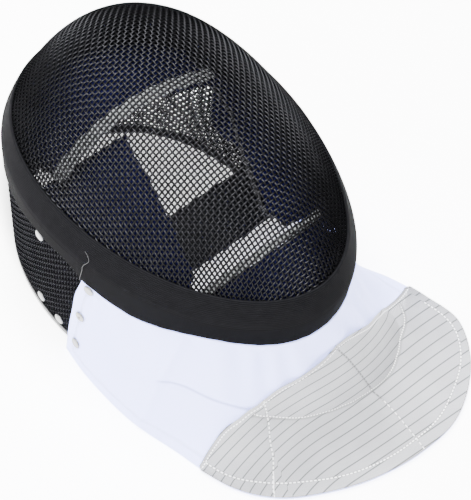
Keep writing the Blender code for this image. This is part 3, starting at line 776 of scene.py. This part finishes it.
BIB_FOLD = (                    # angle round the trim, the fold's share of the way down, its depth
    (-245.0, 0.450, 0.0000),
    (-232.0, 0.460, 0.0010),
    (-223.0, 0.540, 0.0025),
    (-217.0, 0.620, 0.0040),
    (-210.0, 0.640, 0.0055),
    (-202.0, 0.590, 0.0065),
    (-192.0, 0.550, 0.0060),
    (-180.0, 0.510, 0.0050),
    (-170.0, 0.485, 0.0040),
    (-160.0, 0.455, 0.0030),
    (-150.0, 0.410, 0.0022),
    (-140.0, 0.390, 0.0016),
    (-130.0, 0.420, 0.0011),
    (-122.0, 0.460, 0.0006),
    (-110.0, 0.460, 0.0000),
)
FOLD_BELLY = 0.7
BIB_EDGE = (                    # share of the way down, angle of the front edge from the crown
    (0.00, 96.2),
    (0.25, 95.3),
    (0.46, 95.7),
    (0.63, 96.1),
    (0.80, 96.8),
    (1.00, 98.0),
)


def bib_relief(turn, share):
    """Height of the cloth off its even fall: out above the fold, in at the fold, level at both ends."""
    degrees = np.degrees(turn)
    fold, depth = curve_through(BIB_FOLD, degrees)
    above = np.clip(share / fold, 0, 1)
    below = np.clip((share - fold) / (1 - fold), 0, 1)
    inner = FOLD_BELLY * np.sin(math.pi * above) - above ** 2
    return depth * np.where(share < fold, inner, -(1 - below) ** 2)


def bib_flat(turn, share):
    """The bib's even fall: its plan place goes from the trim to the hem with share^BIB_CURL, its
    height with (1 - share)^fall."""
    degrees = np.degrees(turn)
    top = lean(rear_point(turn, trim_on_rear(turn) + GAP, 0.0)) - MASK_CENTRE
    hem_x, hem_y, fall = curve_through(BIB_FALL, degrees)
    spread = share ** BIB_CURL
    hem_z = BIB_WALL + GAP
    return np.stack([
        top[..., 0] + (hem_x - top[..., 0]) * spread,
        top[..., 1] + (hem_y - top[..., 1]) * spread,
        hem_z + (top[..., 2] - hem_z) * (1 - share) ** fall,
    ], axis=-1)


def bib_point(turn, share, off):
    """The even fall with its relief, and off more, along the cloth's outward direction."""
    turn, share = np.broadcast_arrays(np.asarray(turn, float), np.asarray(share, float))
    small = 0.01
    along = bib_flat(turn + small, share) - bib_flat(turn - small, share)
    down = bib_flat(turn, np.clip(share + small, 0, 1)) - bib_flat(turn, np.clip(share - small, 0, 1))
    out = unit(np.cross(along, down))
    return MASK_CENTRE + bib_flat(turn, share) + out * (bib_relief(turn, share) + off)[..., None]


def cloth_lengths(points):
    """Flat place of each point of a cloth grid: its run along its own row, counted from the
    middle column, and its run down its own column."""
    along = run_along(points.swapaxes(0, 1)).T
    along = along - along[:, [points.shape[1] // 2]]
    return np.stack([along, run_along(points)], axis=-1)


def add_wall(piece, wall):
    """Gives an open cloth its thickness, inwards."""
    thick = piece.modifiers.new("wall", "SOLIDIFY")
    thick.thickness = wall
    thick.offset = -1.0
    thick.use_even_offset = True


def drawn_line(degrees, share):
    """A line drawn on the cloth through these turns and shares: its points and, at each, the
    cloth's outward direction."""
    line = bib_point(np.radians(degrees), share, 0.0)
    out = bib_point(np.radians(degrees), share, 0.001) - line
    return line, unit(out)


def through(table, count=260):
    """Turns and shares of a smooth line through the rows of a table, at even steps."""
    rows = np.column_stack([np.linspace(0, 1, len(table)), table])
    return curve_through(rows, np.linspace(0, 1, count))


def line_map(points, degrees, share):
    """For each point, its distance from the nearest place of a drawn line, with the sign of the
    side it is on, and how far along the line that place is.  Past an end, 10 mm is added."""
    line, out = drawn_line(degrees, share)
    way = unit(np.gradient(line, axis=0))
    side = np.cross(out, way)
    run = run_along(line)
    flat = points.reshape(-1, 3)
    square = (line ** 2).sum(1)[None, :] - 2 * flat @ line.T
    nearest = square.argmin(axis=1)
    gap = flat - line[nearest]
    off, on = (gap * side[nearest]).sum(1), (gap * way[nearest]).sum(1)
    past = ((nearest == 0) | (nearest == len(line) - 1)) & (np.abs(on) > 0.002)
    off = np.where(past, np.hypot(off, on) + 0.01, off)
    return np.stack([off, run[nearest] + on], axis=-1).reshape(*points.shape[:-1], 2)


def along_line(line, width, offset=0.0):
    """1 at an offset from a drawn line, falling off to both sides within about the width."""
    return np.exp(-((line[..., 0] - offset) / width) ** 2)


CREASE_ACROSS = (               # angle round the trim, share of the way down
    (-123.2, 0.464), (-128.6, 0.420), (-135.4, 0.412), (-140.5, 0.403), (-145.3, 0.405), (-151.8, 0.410))
CREASE_DOWN = ((-128.4, 0.036), (-125.9, 0.226), (-123.2, 0.464), (-121.4, 0.696), (-119.6, 0.953))
CREASE_DEPTH = 0.0013           # the crease across is pressed in
RIDGE_HEIGHT = 0.0016           # the crease down stands out
HEM_STITCH = 0.0078             # the stitching's distance in from hem and front edges
HEM_DEPTH = 0.00035
GATHER_SIZE = 0.030             # how strongly the cloth is gathered below the trim

columns, rows = 300, 90
share = np.linspace(0, 1, rows)[:, None]
edge = 180.0 - curve_through(BIB_EDGE, share)[0]
turn = np.radians(-180.0 + edge * np.linspace(-1, 1, columns)[None, :])
bib_points = bib_point(turn, share, 0.0)
down = np.linspace(0, 1, 120)
front_edge = curve_through(BIB_EDGE, down)[0]
hem_turn = np.linspace(-BIB_EDGE[-1][1], BIB_EDGE[-1][1] - 360, 500)
border_turn = np.concatenate([-front_edge, hem_turn, front_edge[::-1] - 360])
hem_map = line_map(bib_points, border_turn, np.concatenate([down, np.ones(len(hem_turn)), down[::-1]]))
hem_map[..., 0] = np.abs(hem_map[..., 0])
across_map = line_map(bib_points, *through(CREASE_ACROSS))
down_map = line_map(bib_points, *through(CREASE_DOWN))
gather = np.sin(turn * 31 + 2.2 * np.sin(turn * 7)) * np.exp(-share / 0.10) * share * GATHER_SIZE
relief = (gather - CREASE_DEPTH * along_line(across_map, 0.0026) + RIDGE_HEIGHT * along_line(down_map, 0.0036)
          - HEM_DEPTH * along_line(hem_map, 0.0015, HEM_STITCH))
relief = relief * np.clip(share / 0.04, 0, 1) * np.clip((1 - share) / 0.02, 0, 1)
bib_points = bib_point(turn, share, relief)
bib = make_mesh("bib_cloth", bib_points, [grid_quads(rows, columns)],
                cloth=cloth_lengths(bib_points), hem=hem_map, crease=across_map)
add_wall(bib, BIB_WALL)


def stitches(finish, name, offset, length, width):
    """1 on the stitches of a seam that runs at an offset from one of the piece's drawn lines."""
    line = finish.map(name)
    return line.band(offset, width) * line.of("Y").wave(length).step(0.22, 0.42)


# The cotton glows faintly blue of itself: painted light that brightens the bib.
cotton = Finish("white_cotton", roughness=0.85, specular_ior_level=0.2,
                emission_color=(0.45, 0.52, 1.0), emission_strength=1.6)
flat = cotton.map("cloth")
twill = (flat + flat.of("Y")).wave(0.0009)
rumple = cotton.noise(28.0, 5.0)
seam_stitch = stitches(cotton, "hem", HEM_STITCH, 0.0030, 0.0009)
seam_groove = cotton.map("hem").band(HEM_STITCH, 0.0022)
white = cotton.mix((0.47, 0.51, 0.96), (0.58, 0.62, 1.00), rumple * 0.8 + twill * 0.2)
# Painted shade: the cloth is darker along the pressed crease across it and in the groove of the hem's
# stitching.
crease_and_groove_painted_shade = cotton.mix(white, (0.30, 0.32, 0.58), cotton.map("crease").band(0.0, 0.0022) * 0.8 + seam_groove * 0.7)
raised = rumple * 0.80 + twill * 0.06 + seam_stitch * 0.2 - seam_groove * 0.15
cotton.look(cotton.mix(crease_and_groove_painted_shade, (0.70, 0.74, 1.0), seam_stitch), raised, 0.0020, 0.7)
finish_piece(bib, cotton, "white_cotton", "bib")


# ---------------------------------------------------------------- silver front of the bib
# Conductive cloth woven with silver thread, in twill with grey pinstripes, cut in three panels
# that are sewn side by side and then over the front of the bib, with a turned-in hem.
LAME_WALL = 0.0009
LAME_START = (                  # angle round the trim, where the silver cloth starts
    (-220.5, 0.950),
    (-217.5, 0.780),
    (-213.5, 0.560),
    (-208.8, 0.395),
    (-200.0, 0.235),
    (-191.6, 0.145),
    (-183.8, 0.120),
    (-176.1, 0.143),
    (-165.8, 0.190),
    (-156.2, 0.262),
    (-150.9, 0.348),
    (-145.2, 0.445),
    (-137.9, 0.640),
    (-135.2, 0.792),
    (-133.2, 0.950),
)
PANEL_SEAM_RIGHT = (            # angle round the trim, share of the way down
    (-152.9, 0.300), (-153.4, 0.443), (-152.6, 0.566), (-152.0, 0.698), (-149.7, 0.900), (-149.0, 0.985))
PANEL_SEAM_LEFT = (
    (-182.9, 0.130), (-185.4, 0.240), (-186.5, 0.416), (-186.0, 0.600), (-183.3, 0.801), (-180.4, 0.985))
CURVED_SEAM = (
    (-150.0, 0.424),
    (-157.0, 0.438),
    (-163.8, 0.459),
    (-172.2, 0.473),
    (-181.3, 0.498),
    (-187.8, 0.520),
    (-193.4, 0.562),
    (-199.0, 0.589),
    (-205.0, 0.627),
    (-211.5, 0.722),
    (-214.9, 0.770),
)
HEM_SEAM = (
    (-134.8, 0.881),
    (-140.0, 0.888),
    (-147.5, 0.874),
    (-156.0, 0.877),
    (-164.4, 0.898),
    (-173.3, 0.908),
    (-182.4, 0.906),
    (-191.8, 0.915),
    (-198.4, 0.942),
    (-204.0, 0.952),
    (-208.7, 0.942),
    (-214.0, 0.935),
)
STRIPE_PITCH = 0.0083
STRIPE_BEND = 5.2               # how the stripes turn down at the wearer's right, per metre
CURVED_DEPTH = 0.0008
PANEL_DEPTH = 0.0004
WRINKLE_SIZE = 0.0003
HEM_LIFT = 0.00035              # the hem is doubled
LAME_LIFT = 0.0004

columns, rows = 240, 90
degrees = np.linspace(LAME_START[0][0], LAME_START[-1][0], columns)
start = curve_through(LAME_START, degrees)[0]
share = start[None, :] + (1 - start)[None, :] * np.linspace(0, 1, rows)[:, None]
turn = np.radians(degrees)[None, :]
lame_points = bib_point(turn, share, 0.0)
tables = {"hem": HEM_SEAM, "curved": CURVED_SEAM, "right": PANEL_SEAM_RIGHT, "left": PANEL_SEAM_LEFT}
seams = {seam_name: line_map(lame_points, *through(table)) for seam_name, table in tables.items()}
seams["top"] = line_map(lame_points, degrees, start)
seams["top"][..., 0] = np.abs(seams["top"][..., 0])
below_hem_seam = share > curve_through(HEM_SEAM[::-1], np.degrees(turn))[0]
off, on = seams["curved"][..., 0], seams["curved"][..., 1]
wrinkle = np.sin(on * 260 + 1.5 * np.sin(on * 90)) * np.exp(-np.abs(off) / 0.006)
relief = (HEM_LIFT * below_hem_seam - CURVED_DEPTH * along_line(seams["curved"], 0.0024)
          - PANEL_DEPTH * (along_line(seams["right"], 0.0018) + along_line(seams["left"], 0.0018))
          + WRINKLE_SIZE * wrinkle + LAME_LIFT)
lame_points = bib_point(turn, share, 2.5 * GAP + LAME_WALL + relief)
x, y, z = (lame_points[..., k] - MASK_CENTRE[k] for k in (0, 1, 2))
right_panel = np.degrees(turn) > -152.6
stripe_run = y + 0.089 * x + 0.6 * z + STRIPE_BEND * np.maximum(-0.012 - x, 0) ** 2
stripe_run = stripe_run + 0.0026 * right_panel + 0.0030 * below_hem_seam
lame = make_mesh("silver_front", lame_points, [grid_quads(rows, columns)],
                 cloth=cloth_lengths(lame_points), stripe=np.stack([stripe_run, x], axis=-1), **seams)
add_wall(lame, LAME_WALL)

silver = Finish("silver_lame", roughness=0.6, metallic=0.25)
flat = silver.map("cloth")
wale = (flat - flat.of("Y")).wave(0.0011)
stripe = silver.map("stripe").wave(STRIPE_PITCH).step(0.955, 0.975)
rumple = silver.noise(35.0, 4.0)
sewn = stitches(silver, "hem", 0.0, 0.0030, 0.0009)
sewn = sewn.high(stitches(silver, "top", 0.0026, 0.0026, 0.0008))
sewn = sewn.high(stitches(silver, "curved", 0.0006, 0.0024, 0.0009))
sewn = sewn.high(stitches(silver, "right", 0.0, 0.0034, 0.0010) * 0.8)
left_sewn = stitches(silver, "left", 0.0, 0.0040, 0.0010)
white_part = silver.map("left").of("Y").step(0.080, 0.084)
dark_sewn = left_sewn * (1 - white_part)
sewn = sewn.high(left_sewn * white_part * 0.8)
groove = silver.map("hem").band(0.0, 0.0018)
for line, width in (("curved", 0.0030), ("right", 0.0016), ("left", 0.0016)):
    groove = groove.high(silver.map(line).band(0.0, width))
weave = silver.mix((0.18, 0.183, 0.195), (0.50, 0.505, 0.53), wale * 0.6 + rumple * 0.4)
striped = silver.mix(weave, (0.08, 0.085, 0.09), stripe * 0.95)
# Painted shade: the cloth is darker in the grooves of its seams and hem.
grooves_painted_shade = silver.mix(striped, (0.16, 0.165, 0.17), groove * 0.5)
dashed = silver.mix(grooves_painted_shade, (0.07, 0.07, 0.075), dark_sewn * 0.8)
raised = wale * 0.25 + rumple * 0.55 + sewn * 0.2 - groove * 0.2
silver.look(silver.mix(dashed, (0.88, 0.89, 0.90), sewn), raised, 0.0011, 0.8)
finish_piece(lame, silver, "silver_lame", "bib_lame")


# ---------------------------------------------------------------- loose threads
# The tape's end thread at the join on the wearer's right, and the last stitch of a panel seam.
THREAD_RADIUS = 0.00017


def thread_tube(name, path, radius, finish, slot):
    """A thin round thread through a path of points, eight-sided with closed ends."""
    way = unit(np.gradient(path, axis=0))
    up = unit(np.cross(way, (0.3, 0.2, 0.9)))
    rows = path[:, None, :] + radius * ring(up, np.cross(way, up), 8)
    return finish_piece(carried(name, rows), finish, slot)


def on_trim(table, off):
    """Points off the tape's outer face along a smooth line through a table of angles and crosses."""
    degrees, cross = through(table, 90)
    angle = np.radians(degrees)
    nearby = np.array((-0.02, 0.0, 0.02))
    near = np.array([
        [trim_outer(np.array([one]), at + nearby)[0][:, 0] for one, at in zip(turned, cross)]
        for turned in (angle - 0.01, angle, angle + 0.01)
    ])
    out = unit(np.cross(near[2, :, 1] - near[0, :, 1], near[1, :, 2] - near[1, :, 0]))
    return lean(near[1, :, 1] + out * off)


LOOSE_THREAD = (                # angle round the trim, place across it
    (-95.8, 0.98),
    (-96.3, 0.62),
    (-96.8, 0.30),
    (-97.0, 0.05),
    (-97.8, -0.12),
    (-98.4, -0.28),
    (-97.6, -0.42),
    (-96.4, -0.50),
)
grey_thread = Finish("grey_thread", roughness=0.7, base_color=(0.022, 0.022, 0.024))
tail_path = on_trim(LOOSE_THREAD, 0.0011)
tail = thread_tube("tape_thread", tail_path, THREAD_RADIUS, grey_thread, "charcoal_tape")

white_thread = Finish("white_thread", roughness=0.7, base_color=(0.80, 0.80, 0.82))
stitch_turn, stitch_share = through(((-150.9, 0.80), (-150.3, 0.86), (-149.6, 0.92), (-149.2, 0.97)), 30)
stitch_path = bib_point(np.radians(stitch_turn), stitch_share, 2.5 * GAP + LAME_WALL + 0.0011)
thread_tube("seam_thread", stitch_path, 0.0003, white_thread, "silver_lame")


# ---------------------------------------------------------------- rivets
# Tubular steel rivets with low turned heads, three in each side of the rear mesh and three in
# each bib corner.  The middle one in the bib is open in the middle.
RIVET_RADIUS = 0.0042
RIVET_RISE = 0.0013
RIVET_SIDES = 28
# shares of the radius and the rise, from the head's middle out
CLOSED_HEAD = ((0.0, 0.98), (0.30, 1.00), (0.62, 0.98), (0.84, 0.88), (0.96, 0.62), (1.0, 0.30), (0.98, 0.0))
OPEN_HEAD = ((0.0, 0.25), (0.16, 0.25), (0.24, 0.90), (0.34, 1.00), *CLOSED_HEAD[2:])


def rivet_head(node, profile):
    """A turned head where the CAD's rivet sits: its middle, and the direction in which it is flat,
    are the CAD mesh's centre and the direction of its least spread, away from the mask's middle."""
    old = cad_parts[node]
    corners = np.array([old.matrix_world @ v.co for v in old.data.vertices])
    centre = corners.mean(axis=0)
    out = np.linalg.svd(corners - centre)[2][2]
    if out @ (centre - MASK_CENTRE) < 0:
        out = -out
    base = (corners @ out).min()
    centre = centre + out * (base - centre @ out)
    up = unit(np.cross(out, (0.0, 1.0, 0.0)))
    around = ring(up, np.cross(out, up), RIVET_SIDES)
    points = [centre + out * profile[0][1] * RIVET_RISE]
    for radius, rise in profile[1:]:
        points.extend(centre + around * radius * RIVET_RADIUS + out * rise * RIVET_RISE)
    points.append(centre)
    k = np.arange(RIVET_SIDES)
    after = (k + 1) % RIVET_SIDES
    rings = len(profile) - 1
    cap = np.stack([np.zeros_like(k), 1 + k, 1 + after], axis=-1)
    walls = 1 + grid_quads(rings, RIVET_SIDES, closed_columns=True)[:, [0, 3, 2, 1]]
    foot = 1 + (rings - 1) * RIVET_SIDES
    bottom = np.stack([np.full_like(k, foot + RIVET_SIDES), foot + after, foot + k], axis=-1)
    head = make_mesh(node + "_head", np.array(points), [cap, walls, bottom])
    finish_piece(head, steel, "bright_steel", node)


steel = steel_finish("bright_steel", (0.12, 0.12, 0.12), (0.27, 0.27, 0.265))
for node in sorted(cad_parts):
    if "_rivet_" in node:
        rivet_head(node, OPEN_HEAD if node.startswith("bib") and node.endswith("5") else CLOSED_HEAD)


# ---------------------------------------------------------------- back strap
# Broad woven elastic across the rear opening, ribbed lengthwise.  Its ends turn up against the
# rear mesh, where the two lower rivets of each side hold them.
STRAP_WIDTH = 0.048
STRAP_WALL = 0.0020
STRAP_FORWARD = 0.003
STRAP_FLOOR = 0.0075
STRAP_BEND = 0.009
STRAP_TAB = 0.026
STRAP_LEVEL = 0.020             # the height at which the rear wall's distance is taken
STRAP_SAG = 0.001
STRAP_ACROSS = 33
UP, ROUND, IN = 8, 14, 60       # points up the strap's end, round its bend and in to its middle
strap_rows = []
for y in np.linspace(-STRAP_WIDTH / 2, STRAP_WIDTH / 2, STRAP_ACROSS):
    inside = WALL_INSIDE + 2 * GAP
    at = np.array(angle_at_y(y, STRAP_LEVEL, inside))
    reach = (lean(rear_point(at, drop_to_height(at, STRAP_LEVEL, inside), inside)) - MASK_CENTRE)[0]
    quarter = np.linspace(0, math.pi / 2, ROUND)
    x = np.concatenate([np.full(UP, reach), reach - STRAP_BEND + STRAP_BEND * np.cos(quarter),
                        np.linspace(reach - STRAP_BEND, 0.0, IN)[1:]])
    z = np.concatenate([np.linspace(STRAP_TAB, STRAP_FLOOR + STRAP_BEND + 0.001, UP),
                        STRAP_FLOOR + STRAP_BEND - STRAP_BEND * np.sin(quarter),
                        STRAP_FLOOR - STRAP_SAG * np.sin(np.linspace(0, math.pi / 2, IN))[1:]])
    x = x + np.where(x > reach - STRAP_BEND, (z - STRAP_LEVEL) * REAR_TAPER * 0.9, 0.0)
    strap_rows.append(np.stack([np.concatenate([-x, x[-2::-1]]), np.full(2 * len(x) - 1, y + STRAP_FORWARD),
                                np.concatenate([z, z[-2::-1]])], axis=1))
strap_points = np.array(strap_rows)
strap_map = cloth_lengths(strap_points)
strap = make_mesh("back_strap_elastic", strap_points + MASK_CENTRE,
                  [grid_quads(*strap_points.shape[:2])[:, ::-1]], cloth=strap_map)
add_wall(strap, STRAP_WALL)
elastic = Finish("black_elastic", roughness=0.8, specular_ior_level=0.06)
flat = elastic.map("cloth")
cords = flat.of("Y").wave(0.0016)
knit = flat.wave(0.0011)
woven = elastic.mix((0.0018, 0.0018, 0.0020), (0.009, 0.009, 0.010), cords * 0.6 + knit * 0.4)
elastic.look(woven, cords * 0.7 + knit * 0.3, 0.0004)
finish_piece(strap, elastic, "black_elastic", "back_strap")


# ---------------------------------------------------------------- pads
# Foam pads covered in navy towelling velour, sewn round the brow, both cheeks and the chin.  They
# swell between their edges, where the cover is drawn in.
PAD_SWELL = 0.0024              # how far a pad's cover may move
PAD_SHRINK = 0.0009             # how much smaller it is before it swells
PAD_VOXEL = 0.0040
PAD_STEPS = 20
PAD_CLOTH = {"use_pressure": True, "uniform_pressure_force": 4.0, "quality": 5, "mass": 0.25,
             "tension_stiffness": 12.0}


def copy_of(node, name):
    """A copy of a CAD node's mesh, to be worked on as a piece of the scene."""
    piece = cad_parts[node].copy()
    piece.data = piece.data.copy()
    piece.name = piece.data.name = name
    piece.data.materials.clear()
    bpy.context.scene.collection.objects.link(piece)
    piece.hide_render = False
    return piece


def bake_modifiers(piece):
    """Puts a piece's mesh as its modifiers make it in place of its own, and removes them."""
    seen = piece.evaluated_get(bpy.context.evaluated_depsgraph_get())
    made = bpy.data.meshes.new_from_object(seen)
    piece.modifiers.clear()
    piece.data = made
    bpy.context.view_layer.update()


def subdivide(piece, levels):
    """Rounds a piece by this many subdivisions."""
    smooth = piece.modifiers.new("smooth", "SUBSURF")
    smooth.levels = smooth.render_levels = levels
    bake_modifiers(piece)
    piece.data.shade_smooth()


def read(piece, what="co"):
    """The places of a piece's points, or their normals."""
    values = np.empty(len(piece.data.vertices) * 3, np.float32)
    piece.data.vertices.foreach_get(what, values)
    return values.reshape(-1, 3).astype(float)


def write_points(piece, points):
    piece.data.vertices.foreach_set("co", points.astype(np.float32).ravel())
    piece.data.update()
    bpy.context.view_layer.update()


def swollen_pad(name, node):
    """A pad's cover, blown up from inside as cloth: the CAD's pad is remeshed in voxels, drawn in
    along its normals, swelled with Cloth's pressure, held to PAD_SWELL and subdivided."""
    pad = copy_of(node, name)
    remesh = pad.modifiers.new("remesh", "REMESH")
    remesh.mode, remesh.voxel_size = "VOXEL", PAD_VOXEL
    settle = pad.modifiers.new("settle", "SMOOTH")
    settle.iterations, settle.factor = 5, 0.5
    bake_modifiers(pad)
    points = read(pad)
    points = points - read(pad, "normal") * PAD_SHRINK
    write_points(pad, points)
    cover = pad.modifiers.new("cover", "CLOTH")
    for key, value in PAD_CLOTH.items():
        setattr(cover.settings, key, value)
    cover.settings.effector_weights.gravity = 0.0
    cover.collision_settings.use_collision = False
    scene = bpy.context.scene
    for step in range(1, PAD_STEPS + 1):
        scene.frame_set(step)
    bake_modifiers(pad)
    scene.frame_set(1)
    moved = read(pad) - points
    far = np.linalg.norm(moved, axis=1, keepdims=True)
    write_points(pad, points + moved * np.minimum(1, PAD_SWELL / np.maximum(far, 1e-9)))
    subdivide(pad, 1)
    return pad


velour = Finish("navy_velour", roughness=0.95, specular_ior_level=0.02, sheen_weight=0.02,
                sheen_roughness=0.4)
nap = velour.noise(260.0, 4.0)
crush = velour.noise(30.0, 3.0)
navy = velour.mix((0.0012, 0.0012, 0.0110), (0.0045, 0.0045, 0.0380), nap * 0.6 + crush * 0.5)
velour.look(navy, nap, 0.0005)
for name, node in (("crown_pad_cover", "crown_pad"), ("cheek_pad_right_cover", "cheek_pad_right"),
                   ("cheek_pad_left_cover", "cheek_pad_left"), ("chin_pad_cover", "chin_pad")):
    finish_piece(swollen_pad(name, node), velour, "navy_velour", node)


# ---------------------------------------------------------------- pad bindings
# Pale woven tape sewn along the free edges of the brow and chin pads, on top of their covers, and
# a thin grey piping along the left side pad's edge.
TAPE_LIFT = 0.0020


def sewn_tape(name, node):
    """The CAD's binding, lifted off the swollen pad by TAPE_LIFT, with its corners rounded by two
    subdivisions."""
    tape = copy_of(node, name)
    tape.modifiers.new("joined", "WELD").merge_threshold = 0.00002
    edge = tape.modifiers.new("edge", "BEVEL")
    edge.width, edge.segments, edge.limit_method = 0.0003, 1, "ANGLE"
    subdivide(tape, 2)
    write_points(tape, read(tape) + (0.0, 0.0, TAPE_LIFT))
    return tape


binding = Finish("pale_binding", roughness=0.8, specular_ior_level=0.2)
thread = binding.noise(900.0, 3.0)
binding.look(binding.mix((0.24, 0.255, 0.26), (0.40, 0.415, 0.42), thread), thread, 0.0002)
for name, node in (("crown_binding_tape", "crown_pad_binding"), ("chin_binding_tape", "chin_pad_binding")):
    finish_piece(sewn_tape(name, node), binding, "pale_binding", node)

LEFT_EDGE = (                   # the left side pad's free edge from the mask's middle: y, x, z
    (-0.060, 0.0340, 0.1040),
    (-0.055, 0.0325, 0.1045),
    (-0.038, 0.0383, 0.1045),
    (-0.019, 0.0468, 0.1045),
    (0.012, 0.0626, 0.1045),
    (0.026, 0.0700, 0.1045),
    (0.043, 0.0735, 0.1050),
    (0.052, 0.0740, 0.1055),
)
PIPING_RADIUS = 0.0013
piping_y = np.linspace(LEFT_EDGE[0][0], LEFT_EDGE[-1][0], 120)
piping_x, piping_z = curve_through(LEFT_EDGE, piping_y)
piping_path = MASK_CENTRE + np.stack([piping_x - 0.0005, piping_y, piping_z], axis=1)
grey_piping = Finish("grey_piping", roughness=0.85, base_color=(0.030, 0.030, 0.034))
thread_tube("left_pad_piping", piping_path, PIPING_RADIUS, grey_piping, "pale_binding")
